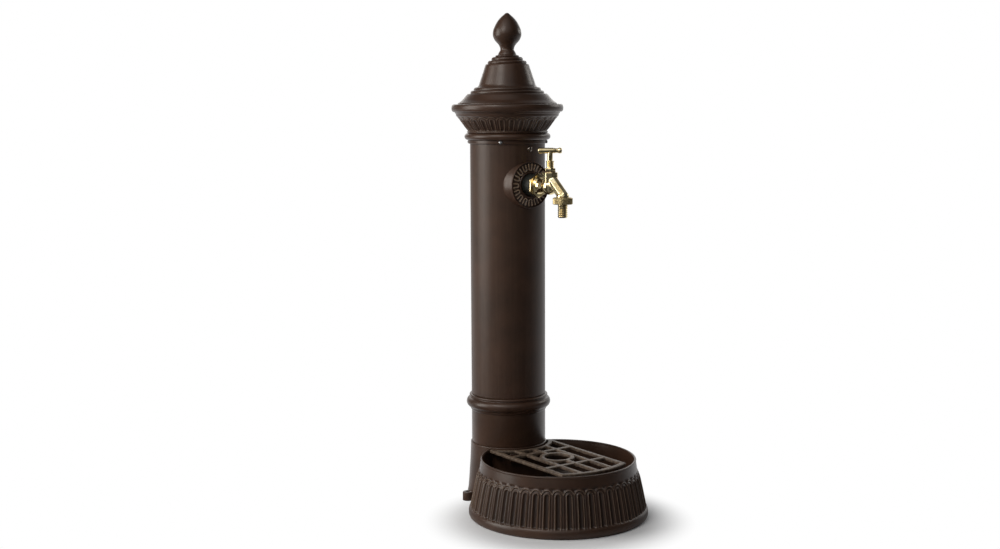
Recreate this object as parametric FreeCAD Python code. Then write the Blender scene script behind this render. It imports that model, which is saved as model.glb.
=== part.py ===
import FreeCAD, Part
import math
import os

# All sizes in mm. The column's axis is x = y = 0 while modelling, the front (tap, basin) faces -Y and the
# ground is z = 0. The finished shapes are shifted along Y so that the origin is the middle of the footprint.

# Column
COLUMN_R = 60.0
TUBE_WALL = 3.0
TUBE_BORE_R = COLUMN_R - TUBE_WALL
COLLAR_Z = 92.7
COLLAR_H = 79.3
TUBE_Z = COLLAR_Z + COLLAR_H
TUBE_LEN = 440.0
TUBE_TOP = TUBE_Z + TUBE_LEN
SPIGOT_CLEARANCE = 0.05
SPIGOT_R = TUBE_BORE_R - SPIGOT_CLEARANCE
SPIGOT_H = 28.0
SPIGOT_WALL = 4.45
BEAD_REACH = 8.2
BEAD_DROP = 13.0
TUBE_SCREW_Z = TUBE_Z + 16.0
TUBE_SCREW_R = 2.5
TUBE_SCREW_TURN = 150.0

# Pedestal and basin
PLATE_T = 8.7
PEDESTAL_WALL = 6.0
BASIN_Y = -134.0
FOOT_R = 140.4
RIM_R = 121.0
RIM_T = 3.0
RIM_BORE_R = RIM_R - RIM_T
RIM_Z = 90.5
SKIRT_Z = 16.0
SKIRT_TOP = 68.5
BOWL_WALL = 4.0
BOWL_FLOOR_Z = 32.0
BASIN_FLUTES = 48
BASIN_FLUTES_SHOWN = 19
BASIN_FLUTE_R = 5.4
LUG_TURN = 101.0
LUG_REACH = 13.0
LUG_R = COLUMN_R + LUG_REACH
LUG_END_R = 8.5
LUG_H = 14.0
ANCHOR_HOLE_R = 3.5
COLLAR_BOLT_R = 3.0
COLLAR_BOLT_CIRCLE_R = COLUMN_R - 16.0
COLLAR_WASHER_R = 6.0
COLLAR_WASHER_T = 1.6
COLLAR_FLANGE_T = 12.0

# Grate
GRATE_TOP = 91.0
GRATE_T = 5.0
GRATE_HALF_W = 62.0
GRATE_FRONT_Y = BASIN_Y - 105.5
GRATE_FRONT_R = 137.0
GRATE_REAR_R = COLUMN_R + 4.5
GRATE_CLIP_R = RIM_BORE_R - 1.0
GRATE_BORDER = 7.0
GRATE_FRONT_BORDER = 9.0
GRATE_BAR = 6.5
GRATE_BAR_X = 29.0
GRATE_RING_Y = BASIN_Y + 3.0
GRATE_HOLE_R = 20.0
GRATE_RING_R = 27.5
GRATE_CROSS_W = 8.0
GRATE_FRONT_CROSS_Y = BASIN_Y - 43.0
GRATE_REAR_CROSS_Y = BASIN_Y + 43.5

# Drain
DRAIN_THREAD_R = 16.6
DRAIN_THREAD_Z = 4.0
DRAIN_BARREL_R = 17.4
DRAIN_CLEARANCE = 0.4
DRAIN_FLANGE_R = 24.0
DRAIN_SEAL_T = 1.5
DRAIN_BORE_R = 13.5
DRAIN_NUT_ACROSS = 42.0
DRAIN_NUT_T = 8.0

# Capital, roof and finial
CAPITAL_LAP = 35.0
CAPITAL_Z = TUBE_TOP - CAPITAL_LAP
CAPITAL_CLEARANCE = 0.3
CAPITAL_BORE_R = COLUMN_R + CAPITAL_CLEARANCE
CAPITAL_REACH = 29.3
CAPITAL_R = COLUMN_R + CAPITAL_REACH
CAPITAL_H = 62.5
CAPITAL_TOP = CAPITAL_Z + CAPITAL_H
CAPITAL_FLUTES = 30
CAPITAL_FLUTE_R = 3.75
CAPITAL_SCREW_Z = CAPITAL_Z + 2.8
CAPITAL_SCREW_R = 2.0
ROOF_SPIGOT_R = COLUMN_R + 14.0
ROOF_SPIGOT_CLEARANCE = 0.3
ROOF_H = 74.0
ROOF_TOP = CAPITAL_TOP + ROOF_H
FINIAL_H = 69.5
FINIAL_TIP = ROOF_TOP + FINIAL_H
STUD_R = 4.0
BRIDGE_Z = TUBE_TOP - 36.0
BRIDGE_T = 4.0
BRIDGE_SCREW_Z = BRIDGE_Z - 7.0
BRIDGE_SCREW_R = 2.5
STUD_Z = BRIDGE_Z - 10.0
STUD_TOP = ROOF_TOP + 21.5

# Rosette and water way
TAP_Z = 513.0
ROSETTE_R = 36.0
ROSETTE_BORE_R = 17.5
ROSETTE_FACE_Y = -COLUMN_R - 2.0
ROSETTE_MOTIFS = 16
TAP_HOLE_R = 11.5
BUSH_R = 16.8
THREAD_R = 10.48
WATER_R = 6.5
SADDLE_Y = -TUBE_BORE_R + 5.0
ELBOW_Y = SADDLE_Y + 24.0
ELBOW_BODY_R = 14.0
PIPE_R = 7.5
PIPE_BORE_R = 6.5
PIPE_BOTTOM = 28.0
PIPE_TOP = TAP_Z - 21.0
GROMMET_R = 9.0
INLET_Z = 6.0
INLET_LEN = 14.0

# Tap
HEX_BACK_Y = -COLUMN_R - 20.0
HEX_FRONT_Y = HEX_BACK_Y - 5.0
HEX_ACROSS = 33.5
SPINDLE_Y = HEX_FRONT_Y - 28.0
OUTLET_Y = SPINDLE_Y - 32.0
GLOBE_R = 12.0
NECK_ACROSS = 23.5
NECK_TOP = TAP_Z + 22.0
CHAMBER_R = 7.0
SEAT_Z = TAP_Z - 1.0
SEAT_BORE_R = 4.5
SPOUT_R = 8.3
SPOUT_SLOPE = 40.0
WASHER_T = 1.0
BONNET_ACROSS = 15.5
BONNET_TOP = NECK_TOP + 6.0
SPINDLE_R = 3.95
SPINDLE_CLEARANCE = 0.05
SPINDLE_BORE_R = SPINDLE_R + SPINDLE_CLEARANCE
STEM_R = 3.0
STEM_CLEARANCE = 0.05
HANDLE_Z = BONNET_TOP + 27.0
HANDLE_R = 4.1
HANDLE_HALF = 18.2
HANDLE_TURN = -35.0
VALVE_DISC_R = 6.0
VALVE_STEM_R = 1.8
UNION_THREAD_R = 13.22
UNION_CLEARANCE = 0.05
NUT_R = 15.2
NUT_TOP = TAP_Z - 16.0
NUT_H = 10.0
NUT_BOTTOM = NUT_TOP - NUT_H
NUT_LIP = 2.5
TAIL_R = 7.0
TAIL_BOTTOM = NUT_BOTTOM - 20.6
TAIL_FLANGE_R = 12.8
TAIL_FLANGE_T = 2.5
UNION_WASHER_T = 2.0

SHIFT_Y = ((FOOT_R - BASIN_Y) - CAPITAL_R) / 2.0


def vec(x, y, z):
    return FreeCAD.Vector(x, y, z)


def moved(r, z, outline):
    """An outline written from a corner of its own, put at that radius and height."""
    out = []
    for step in outline:
        if isinstance(step[0], tuple):
            out.append(type(step)((r + a, z + b) for a, b in step))
        else:
            out.append((r + step[0], z + step[1]))
    return out


def placed(shape, base, along):
    turn = FreeCAD.Rotation(vec(0, 0, 1), vec(*along))
    shape.Placement = FreeCAD.Placement(vec(*base), turn)
    return shape


def turned(outline, base=(0, 0, 0), along=(0, 0, 1)):
    """A closed outline of (radius, height) steps turned about an axis. A pair of points is an arc through
    the first to the second, a list of points is a smooth curve."""
    here = outline[0]
    edges = []
    for step in outline[1:] + [outline[0]]:
        if isinstance(step, list):
            curve = Part.BSplineCurve()
            curve.interpolate([vec(r, 0, z) for r, z in [here] + step])
            edges.append(curve.toShape())
            here = step[-1]
        elif isinstance(step[0], tuple):
            through, end = step
            arc = Part.Arc(vec(here[0], 0, here[1]), vec(through[0], 0, through[1]), vec(end[0], 0, end[1]))
            edges.append(arc.toShape())
            here = end
        elif step != here:
            edges.append(Part.makeLine(vec(here[0], 0, here[1]), vec(step[0], 0, step[1])))
            here = step
    face = Part.Face(Part.Wire(edges))
    return placed(face.revolve(vec(0, 0, 0), vec(0, 0, 1), 360), base, along)


def rod(radius, start, end):
    line = vec(*end) - vec(*start)
    return Part.makeCylinder(radius, line.Length, vec(*start), line)


def prism(sides, across, start, end, first_corner=0.0):
    """A bar with flat sides between two points. In its own section plane the first corner is at that angle."""
    reach = across / 2.0 / math.cos(math.pi / sides)
    corners = []
    for k in range(sides + 1):
        a = math.radians(first_corner + 360.0 * k / sides)
        corners.append(vec(reach * math.cos(a), reach * math.sin(a), 0))
    line = vec(*end) - vec(*start)
    bar = Part.Face(Part.makePolygon(corners)).extrude(vec(0, 0, line.Length))
    return placed(bar, start, (line.x, line.y, line.z))


def box(x0, x1, y0, y1, z0, z1):
    return Part.makeBox(x1 - x0, y1 - y0, z1 - z0, vec(x0, y0, z0))


def around(degrees, radius, z, y=0.0):
    """The point at that angle from the front, seen from above, positive towards +X."""
    a = math.radians(degrees)
    return (radius * math.sin(a), y - radius * math.cos(a), z)


def cut_all(shape, tools):
    return shape.cut(Part.makeCompound(tools))


def fuse_all(shape, others):
    return shape.fuse(others).removeSplitter()


def skirt(z, bulge=0.0):
    """A point of the basin's sloping side, between the foot and the rim."""
    low = FOOT_R - 2.5
    high = RIM_R + 4.4
    return (low + (high - low) * (z - SKIRT_Z) / (SKIRT_TOP - SKIRT_Z) + bulge, z)


def basin_outer():
    foot = moved(FOOT_R, 0.0, [(-3.6, 0), ((-1.1, 1.6), (0, 5.5)), ((-0.3, 10.5), (-1.7, 15.0))])
    side = [skirt(SKIRT_Z), [skirt(40.0, 0.52), skirt(59.0, 0.77), skirt(SKIRT_TOP)]]
    rim = moved(RIM_R, RIM_Z, [(3.8, -20.1), (2.3, -18.7), (1.3, -10.5), (0, -3.0),
                               ((-RIM_T / 2.0, 0), (-RIM_T, -2.5)), (-RIM_R, -2.5)])
    return turned([(0, 0)] + foot + side + rim, (0, BASIN_Y, 0))


def pedestal_outer():
    side = moved(COLUMN_R, 0.0, [(7.4, 0), (7.4, 10.0), (6.2, 16.0), (5.0, 31.0), (4.0, 46.0), (3.0, 61.0),
                                 (2.2, 77.0), (1.7, COLLAR_Z)])
    return turned([(0, 0)] + side + [(0, COLLAR_Z)])


def bowl_space():
    floor = moved(RIM_BORE_R, BOWL_FLOOR_Z, [(-RIM_BORE_R, 0), (-16.0, 0), ((-7.5, 3.5), (-4.0, 12.0))])
    mouth = moved(RIM_BORE_R, RIM_Z, [(-1.5, -10.5), (0, -2.5), (0, 9.5), (-RIM_BORE_R, 9.5)])
    return turned(floor + mouth, (0, BASIN_Y, 0))


def basin_underside():
    low = BOWL_FLOOR_Z - BOWL_WALL
    outer = [skirt(-1.0, -9.2), skirt(15.0, -4.2), skirt(40.0, -3.9), skirt(58.0, -3.8), skirt(64.0, -4.15)]
    inner = moved(RIM_BORE_R, 0.0, [(1.8, 64.0), (0.2, low + 16.0), ((-4.5, low + 4.5), (-16.0, low))])
    return turned([(0, -1.0)] + outer + inner + [(0, low)], (0, BASIN_Y, 0))


def pedestal_underside():
    top = COLLAR_Z - PLATE_T
    wall = COLUMN_R + 1.7 - PEDESTAL_WALL
    return turned([(0, -1.0), (wall + 5.3, -1.0), (wall, top - 6.0), (wall - 5.0, top), (0, top)])


def lug(side):
    x, y, z = around(side * LUG_TURN, LUG_R, 0.0)
    end = rod(LUG_END_R, (x, y, 0), (x, y, LUG_H))
    web = Part.makeBox(2 * LUG_END_R, 16.0, LUG_H, vec(-LUG_END_R, -16.0, 0))
    web.rotate(vec(0, 0, 0), vec(0, 0, 1), 180.0 + side * LUG_TURN)
    web.translate(vec(x, y, 0))
    return [end, web]


def basin_flute(turn):
    """One flute's cutter: a round groove up the skirt that ends in a round arch."""
    low = around(turn, skirt(15.5, 3.5)[0], 15.5, BASIN_Y)
    high = around(turn, skirt(62.4, 3.8)[0], 62.4, BASIN_Y)
    return [rod(BASIN_FLUTE_R, low, high), Part.makeSphere(BASIN_FLUTE_R, vec(*high))]


def grate_ledges():
    high = GRATE_TOP - GRATE_T
    low = high - 14.0
    inside = rod(RIM_BORE_R + 1.0, (0, BASIN_Y, low), (0, BASIN_Y, high))
    front_x = GRATE_HALF_W - 15.0
    ledges = []
    for side in (-1, 1):
        front = box(side * front_x - 7.0, side * front_x + 7.0, BASIN_Y - 116.0, BASIN_Y - 88.0, low, high)
        ledges.append(front.common(inside))
        rear = turned(moved(COLUMN_R, low, [(-2.0, 0), (11.0, 4.0), (11.0, 14.0), (-2.0, 14.0)]))
        wedge = Part.makePolygon([vec(0, 0, 0), vec(*around(side * 20.0, COLUMN_R + 30.0, 0)),
                                  vec(*around(side * 34.0, COLUMN_R + 30.0, 0)), vec(0, 0, 0)])
        ledges.append(rear.common(Part.Face(wedge).extrude(vec(0, 0, high + 10.0))))
    return ledges


def base_casting():
    pedestal = pedestal_outer()
    body = basin_outer()
    flutes = []
    for k in range(-BASIN_FLUTES_SHOWN, BASIN_FLUTES_SHOWN + 1):
        flutes += basin_flute(360.0 * k / BASIN_FLUTES)
    body = cut_all(body, flutes)
    body = body.cut(bowl_space()).cut(basin_underside())
    body = fuse_all(body, [pedestal] + lug(-1) + lug(1) + grate_ledges())
    body = body.cut(pedestal_underside())
    holes = [rod(DRAIN_BARREL_R + DRAIN_CLEARANCE, (0, BASIN_Y, 0), (0, BASIN_Y, BOWL_FLOOR_Z + 5.0)),
             rod(GROMMET_R, (0, ELBOW_Y, COLLAR_Z - 40.0), (0, ELBOW_Y, COLLAR_Z + 1.0))]
    for side in (-1, 1):
        x, y, z = around(side * LUG_TURN, LUG_R, 0.0)
        holes.append(rod(ANCHOR_HOLE_R, (x, y, -1.0), (x, y, LUG_H + 1.0)))
    for k in range(4):
        x, y, z = around(45.0 + 90.0 * k, COLLAR_BOLT_CIRCLE_R, 0.0)
        holes.append(rod(COLLAR_BOLT_R + 0.3, (x, y, COLLAR_Z - 30.0), (x, y, COLLAR_Z + 1.0)))
    return cut_all(body, holes)


def grate_outline(inset, front_inset, low, high):
    """The grate's plan shape between two heights, set in from its edge."""
    centre_y = GRATE_FRONT_Y + GRATE_FRONT_R
    half = GRATE_HALF_W - inset
    slab = box(-half, half, GRATE_FRONT_Y - 10.0, 0.0, low, high)
    slab = slab.common(rod(GRATE_FRONT_R - front_inset, (0, centre_y, low), (0, centre_y, high)))
    slab = slab.common(rod(GRATE_CLIP_R - inset, (0, BASIN_Y, low), (0, BASIN_Y, high)))
    return slab.cut(rod(GRATE_REAR_R + inset, (0, 0, low - 1.0), (0, 0, high + 1.0)))


def grate():
    low = GRATE_TOP - GRATE_T
    cells = grate_outline(GRATE_BORDER, GRATE_FRONT_BORDER, low - 1.0, GRATE_TOP + 1.0)
    front = GRATE_FRONT_Y - 10.0
    wide = GRATE_HALF_W + 10.0
    bars = [rod(GRATE_RING_R, (0, GRATE_RING_Y, low - 1.0), (0, GRATE_RING_Y, GRATE_TOP + 1.0))]
    for x in (-GRATE_BAR_X, 0.0, GRATE_BAR_X):
        bars.append(box(x - GRATE_BAR / 2, x + GRATE_BAR / 2, front, 0.0, low - 1.0, GRATE_TOP + 1.0))
    for y in (GRATE_FRONT_CROSS_Y, GRATE_REAR_CROSS_Y):
        bars.append(box(-wide, wide, y - GRATE_CROSS_W / 2, y + GRATE_CROSS_W / 2, low - 1.0, GRATE_TOP + 1.0))
    cells = cut_all(cells, bars)
    plate = grate_outline(0.0, 0.0, low, GRATE_TOP)
    hole = rod(GRATE_HOLE_R, (0, GRATE_RING_Y, low - 1.0), (0, GRATE_RING_Y, GRATE_TOP + 1.0))
    return plate.cut(cells).cut(hole).removeSplitter()


def drain_waste():
    """Domed strainer on a barrel that passes the basin floor, with a thinner thread under the nut."""
    seat = BOWL_FLOOR_Z + DRAIN_SEAL_T
    nut_z = BOWL_FLOOR_Z - BOWL_WALL - DRAIN_NUT_T
    body = turned([(0, seat + 1.0), (0, seat + 4.0), (16.0, seat + 4.0), (DRAIN_FLANGE_R, seat + 1.5),
                   (DRAIN_FLANGE_R, seat), (DRAIN_BARREL_R, seat), (DRAIN_BARREL_R, nut_z),
                   (DRAIN_THREAD_R, nut_z), (DRAIN_THREAD_R, DRAIN_THREAD_Z), (DRAIN_BORE_R, DRAIN_THREAD_Z),
                   (DRAIN_BORE_R, seat + 1.0)], (0, BASIN_Y, 0))
    low = BOWL_FLOOR_Z - 12.0
    high = BOWL_FLOOR_Z + 13.0
    holes = [rod(2.2, (0, BASIN_Y, low), (0, BASIN_Y, high))]
    for count, radius in ((6, 5.0), (10, 10.0)):
        for k in range(count):
            x, y, z = around(360.0 * k / count, radius, 0.0, BASIN_Y)
            holes.append(rod(1.9, (x, y, low), (x, y, high)))
    return cut_all(body, holes)


def drain_seal():
    low = BOWL_FLOOR_Z
    return turned([(DRAIN_BARREL_R, low), (DRAIN_FLANGE_R, low), (DRAIN_FLANGE_R, low + DRAIN_SEAL_T),
                   (DRAIN_BARREL_R, low + DRAIN_SEAL_T)], (0, BASIN_Y, 0))


def drain_backnut():
    top = BOWL_FLOOR_Z - BOWL_WALL
    nut = prism(6, DRAIN_NUT_ACROSS, (0, BASIN_Y, top - DRAIN_NUT_T), (0, BASIN_Y, top))
    return nut.cut(rod(DRAIN_BARREL_R, (0, BASIN_Y, 0), (0, BASIN_Y, top + 10.0)))


def column_collar():
    inner_r = SPIGOT_R - SPIGOT_WALL
    foot_r = COLLAR_BOLT_CIRCLE_R - 6.0
    top = TUBE_Z - BEAD_DROP
    flange = COLLAR_Z + COLLAR_FLANGE_T
    bead = moved(COLUMN_R, top, [
        (0, -13.5), (1.5, -12.0), (2.5, -8.5), ((BEAD_REACH, 0), (2.5, 7.5)), (2.0, 8.5),
        ((3.6, 10.5), (2.0, 12.5)), (0.5, BEAD_DROP)])
    spigot = [(SPIGOT_R, TUBE_Z), (SPIGOT_R, TUBE_Z + SPIGOT_H),
              (inner_r, TUBE_Z + SPIGOT_H), (inner_r, flange)]
    body = turned([(foot_r, COLLAR_Z), (COLUMN_R, COLLAR_Z)] + bead + spigot + [(foot_r, flange)])
    holes = []
    for k in range(4):
        x, y, z = around(45.0 + 90.0 * k, COLLAR_BOLT_CIRCLE_R, 0.0)
        holes.append(rod(COLLAR_BOLT_R, (x, y, COLLAR_Z - 1.0), (x, y, flange)))
    for side in (-1, 1):
        holes.append(rod(TUBE_SCREW_R, around(side * TUBE_SCREW_TURN, COLUMN_R - 10.0, TUBE_SCREW_Z),
                         around(side * TUBE_SCREW_TURN, COLUMN_R + 2.0, TUBE_SCREW_Z)))
    return cut_all(body, holes)


def collar_bolts():
    bolts = []
    under = COLLAR_Z - PLATE_T - COLLAR_WASHER_T
    for k in range(4):
        x, y, z = around(45.0 + 90.0 * k, COLLAR_BOLT_CIRCLE_R, 0.0)
        shank = rod(COLLAR_BOLT_R, (x, y, under), (x, y, COLLAR_Z + COLLAR_FLANGE_T))
        head = prism(6, 10.0, (x, y, under - 4.0), (x, y, under))
        bolts.append(shank.fuse(head))
    return Part.makeCompound(bolts)


def collar_washers():
    washers = []
    top = COLLAR_Z - PLATE_T
    low = top - COLLAR_WASHER_T
    for k in range(4):
        base = around(45.0 + 90.0 * k, COLLAR_BOLT_CIRCLE_R, 0.0)
        washers.append(turned([(COLLAR_BOLT_R, low), (COLLAR_WASHER_R, low), (COLLAR_WASHER_R, top),
                               (COLLAR_BOLT_R, top)], base))
    return Part.makeCompound(washers)


def column_tube():
    body = turned([(TUBE_BORE_R, TUBE_Z), (COLUMN_R, TUBE_Z), (COLUMN_R, TUBE_TOP), (TUBE_BORE_R, TUBE_TOP)])
    inside = COLUMN_R - 10.0
    outside = COLUMN_R + 5.0
    holes = [rod(TAP_HOLE_R, (0, -inside, TAP_Z), (0, -outside, TAP_Z))]
    for turn in (0.0, 180.0):
        holes.append(rod(BRIDGE_SCREW_R, around(turn, inside, BRIDGE_SCREW_Z),
                         around(turn, outside, BRIDGE_SCREW_Z)))
    for side in (-1, 1):
        holes.append(rod(TUBE_SCREW_R, around(side * TUBE_SCREW_TURN, inside, TUBE_SCREW_Z),
                         around(side * TUBE_SCREW_TURN, outside, TUBE_SCREW_Z)))
        holes.append(rod(2.0, *rosette_screw_line(side, inside, outside)))
    for k in range(4):
        turn = 45.0 + 90.0 * k
        holes.append(rod(CAPITAL_SCREW_R, around(turn, inside, CAPITAL_SCREW_Z),
                         around(turn, outside, CAPITAL_SCREW_Z)))
    return cut_all(body, holes)


def button_screw(radius, head_r, start, seat, top):
    """Shank from start to seat, domed head from seat to top with a hexagon socket."""
    line = vec(*top) - vec(*seat)
    tall = line.Length
    along = (line.x, line.y, line.z)
    head = turned([(0, -0.3), (head_r, -0.3), ((head_r * 0.8, tall * 0.75), (0, tall))], seat, along)
    socket = placed(Part.Face(Part.makePolygon([vec(1.5 * math.cos(math.radians(60 * k)),
                                                    1.5 * math.sin(math.radians(60 * k)), tall - 1.3)
                                                for k in range(7)])).extrude(vec(0, 0, 3.0)), seat, along)
    return head.cut(socket).fuse(rod(radius, start, seat))


def wall_screw(radius, head_r, turn, length, z):
    """A button screw in the column's wall, its head bedded on the round outside."""
    seat = around(turn, COLUMN_R, z)
    start = around(turn, COLUMN_R - length, z)
    screw = button_screw(radius, head_r, start, seat, around(turn, COLUMN_R + 2.6, z))
    column = rod(COLUMN_R, (0, 0, z - 20.0), (0, 0, z + 20.0))
    return screw.cut(column.cut(rod(radius, start, seat)))


def tube_screws():
    return Part.makeCompound([wall_screw(TUBE_SCREW_R, 4.5, side * TUBE_SCREW_TURN, 7.4, TUBE_SCREW_Z)
                              for side in (-1, 1)])


def bridge_screws():
    return Part.makeCompound([wall_screw(BRIDGE_SCREW_R, 4.3, turn, 8.5, BRIDGE_SCREW_Z)
                              for turn in (0.0, 180.0)])


def head_bridge():
    low = BRIDGE_Z - 16.0
    reach = TUBE_BORE_R + 1.0
    inside = rod(TUBE_BORE_R, (0, 0, low - 10.0), (0, 0, BRIDGE_Z + 20.0))
    bar = box(-10.0, 10.0, -reach, reach, BRIDGE_Z, BRIDGE_Z + BRIDGE_T)
    ears = []
    for side in (-1, 1):
        middle = side * (reach - 3.5)
        ears.append(box(-10.0, 10.0, middle - 3.5, middle + 3.5, low, BRIDGE_Z + 1.0))
    body = fuse_all(bar, ears).common(inside)
    holes = [rod(STUD_R + 0.3, (0, 0, low), (0, 0, BRIDGE_Z + 20.0))]
    for turn in (0.0, 180.0):
        holes.append(rod(BRIDGE_SCREW_R, around(turn, COLUMN_R - 15.0, BRIDGE_SCREW_Z),
                         around(turn, COLUMN_R + 5.0, BRIDGE_SCREW_Z)))
    return cut_all(body, holes)


def capital():
    outside = moved(COLUMN_R, CAPITAL_Z, [
        (2.2, 0), (2.8, 1.0), (2.8, 5.5), (2.4, 6.0), ((8.8, 11.3), (2.4, 16.6)), (2.8, 18.4), (4.0, 20.0),
        [(6.7, 24.5), (10.0, 29.0), (13.6, 34.0), (17.5, 39.0), (21.7, 43.6)], (22.8, 47.4), (24.4, 48.2),
        (24.8, 50.2), ((CAPITAL_REACH, 56.3), (24.8, CAPITAL_H))])
    socket_r = ROOF_SPIGOT_R + ROOF_SPIGOT_CLEARANCE
    inside = [(socket_r, CAPITAL_TOP), (socket_r, CAPITAL_TOP - 11.5), (socket_r - 4.3, CAPITAL_TOP - 15.5),
              (TUBE_BORE_R - 0.5, TUBE_TOP + 4.0), (TUBE_BORE_R - 0.5, TUBE_TOP), (CAPITAL_BORE_R, TUBE_TOP)]
    body = turned([(CAPITAL_BORE_R, CAPITAL_Z)] + outside + inside)
    flutes = []
    for k in range(CAPITAL_FLUTES):
        turn = 360.0 * (k + 0.5) / CAPITAL_FLUTES
        low = around(turn, COLUMN_R + 6.2, CAPITAL_Z + 19.4)
        high = around(turn, COLUMN_R + 16.8, CAPITAL_Z + 34.8)
        flutes += [rod(CAPITAL_FLUTE_R, low, high), Part.makeSphere(CAPITAL_FLUTE_R, vec(*high))]
    body = cut_all(body, flutes)
    holes = []
    for k in range(4):
        turn = 45.0 + 90.0 * k
        holes.append(rod(CAPITAL_SCREW_R, around(turn, COLUMN_R - 2.0, CAPITAL_SCREW_Z),
                         around(turn, COLUMN_R + 6.0, CAPITAL_SCREW_Z)))
    return cut_all(body, holes)


def capital_screws():
    screws = []
    for k in range(4):
        turn = 45.0 + 90.0 * k
        shank = rod(CAPITAL_SCREW_R, around(turn, COLUMN_R - 4.0, CAPITAL_SCREW_Z),
                    around(turn, COLUMN_R + 3.4, CAPITAL_SCREW_Z))
        seat = around(turn, COLUMN_R + 2.8, CAPITAL_SCREW_Z)
        out = (math.sin(math.radians(turn)), -math.cos(math.radians(turn)), 0)
        head = turned([(0, 0), (2.7, 0), (2.7, 1.3), (1.7, 2.0), (0, 2.0)], seat, out)
        screws.append(shank.fuse(head))
    return Part.makeCompound(screws)


def roof():
    outside = moved(COLUMN_R, CAPITAL_TOP, [
        (19.2, 0), (19.0, 1.5), [(13.1, 5.5), (8.9, 10.0), (5.3, 14.3)], (3.2, 16.1), (-1.4, 16.7),
        ((-1.3, 19.1), (-3.4, 21.3)), (-6.6, 21.7), ((-6.6, 24.1), (-8.8, 26.3)), (-12.4, 26.9),
        (-14.6, 29.9), (-15.8, 33.5), (-23.7, 57.0), (-25.2, 61.5), (-26.4, 62.9), (-29.4, 63.3),
        ((-29.0, 65.9), (-31.2, 68.3)), (-35.4, 68.7), ((-35.0, 71.3), (-37.4, ROOF_H))])
    inside = moved(COLUMN_R, CAPITAL_TOP, [
        (-35.0, 64.5), (-29.5, 57.5), (-20.0, 29.0), (-14.0, 23.0), (-6.0, 12.5), (6.0, 4.5), (10.0, -5.5)])
    bore_r = STUD_R + 0.3
    return turned([(bore_r, CAPITAL_TOP + 64.5)] + inside +
                  [(ROOF_SPIGOT_R, CAPITAL_TOP - 5.5), (ROOF_SPIGOT_R, CAPITAL_TOP)] + outside +
                  [(bore_r, ROOF_TOP)])


def finial():
    bud = moved(0.0, ROOF_TOP, [
        (18.4, 0), (17.4, 2.0),
        [(14.0, 6.5), (10.9, 11.7), (11.8, 16.3), (14.3, 20.5), (18.9, 25.5), (21.6, 30.5),
         (22.8, 35.1), (22.4, 40.5), (20.8, 45.9), (17.0, 53.5), (13.4, 58.7), (9.0, 63.3)],
        [(6.0, 65.8), (3.6, 67.9), (2.2, 69.1)], (0, FINIAL_H)])
    return turned([(STUD_R, ROOF_TOP)] + bud + [(0, STUD_TOP), (STUD_R, STUD_TOP)])


def finial_stud():
    return rod(STUD_R, (0, 0, STUD_Z), (0, 0, STUD_TOP))


def finial_nut():
    nut = prism(6, 13.0, (0, 0, BRIDGE_Z - 6.5), (0, 0, BRIDGE_Z))
    return nut.cut(rod(STUD_R, (0, 0, BRIDGE_Z - 16.0), (0, 0, BRIDGE_Z + 10.0)))


def rosette_screw_line(side, start, end):
    turn = side * 26.0
    return around(turn, start, TAP_Z), around(turn, end, TAP_Z)


def tap_rosette():
    """Disc with a hollow back that sits on the tube, a raised rim and a ring of radial flutes."""
    face = -ROSETTE_FACE_Y
    back = COLUMN_R - 20.0
    body = turned([(ROSETTE_BORE_R, back), (ROSETTE_R + 4.5, back), (ROSETTE_R + 1.2, face - 4.0),
                   (ROSETTE_R, face + 0.4), ((ROSETTE_R - 1.2, face + 1.2), (ROSETTE_R - 2.4, face + 0.4)),
                   (ROSETTE_R - 3.0, face - 1.4), (ROSETTE_R - 4.2, face - 1.4), (ROSETTE_R - 4.6, face),
                   (21.6, face), (21.0, face + 0.6), (18.3, face + 0.6), (ROSETTE_BORE_R, face)],
                  (0, 0, TAP_Z), (0, -1, 0))
    body = body.cut(rod(COLUMN_R, (0, 0, TAP_Z - 100.0), (0, 0, TAP_Z + 100.0)))
    grooves = []
    for k in range(2 * ROSETTE_MOTIFS):
        a = math.radians(180.0 * k / ROSETTE_MOTIFS)
        inner = (24.0 * math.cos(a), ROSETTE_FACE_Y - 0.6, TAP_Z + 24.0 * math.sin(a))
        end_r = ROSETTE_R - 4.4
        outer = (end_r * math.cos(a), ROSETTE_FACE_Y - 0.6, TAP_Z + end_r * math.sin(a))
        grooves += [rod(1.5, inner, outer), Part.makeSphere(1.5, vec(*inner))]
    holes = [rod(2.0, *rosette_screw_line(side, COLUMN_R - 10.0, COLUMN_R + 5.2)) for side in (-1, 1)]
    return cut_all(body, grooves + holes)


def rosette_screws():
    screws = []
    inside = rod(TUBE_BORE_R, (0, 0, TAP_Z - 30.0), (0, 0, TAP_Z + 30.0))
    for side in (-1, 1):
        head = rod(3.8, *rosette_screw_line(side, TUBE_BORE_R - 2.0, TUBE_BORE_R + 1.0)).common(inside)
        screws.append(head.fuse(rod(2.0, *rosette_screw_line(side, TUBE_BORE_R - 1.0, COLUMN_R + 5.2))))
    return Part.makeCompound(screws)


def tap_bush():
    back = COLUMN_R - 15.0
    body = turned([(THREAD_R, back), (BUSH_R, back), (BUSH_R, -HEX_BACK_Y - 0.8), (BUSH_R - 0.8, -HEX_BACK_Y),
                   (THREAD_R, -HEX_BACK_Y)], (0, 0, TAP_Z), (0, -1, 0))
    return body.cut(rod(COLUMN_R, (0, 0, TAP_Z - 100.0), (0, 0, TAP_Z + 100.0)))


def elbow_saddle():
    body = box(-19.0, 19.0, -TUBE_BORE_R - 0.5, SADDLE_Y, TAP_Z - 19.0, TAP_Z + 19.0)
    body = body.common(rod(TUBE_BORE_R, (0, 0, TAP_Z - 100.0), (0, 0, TAP_Z + 100.0)))
    return body.cut(rod(TAP_HOLE_R, (0, -COLUMN_R - 10.0, TAP_Z), (0, SADDLE_Y + 12.0, TAP_Z)))


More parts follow.
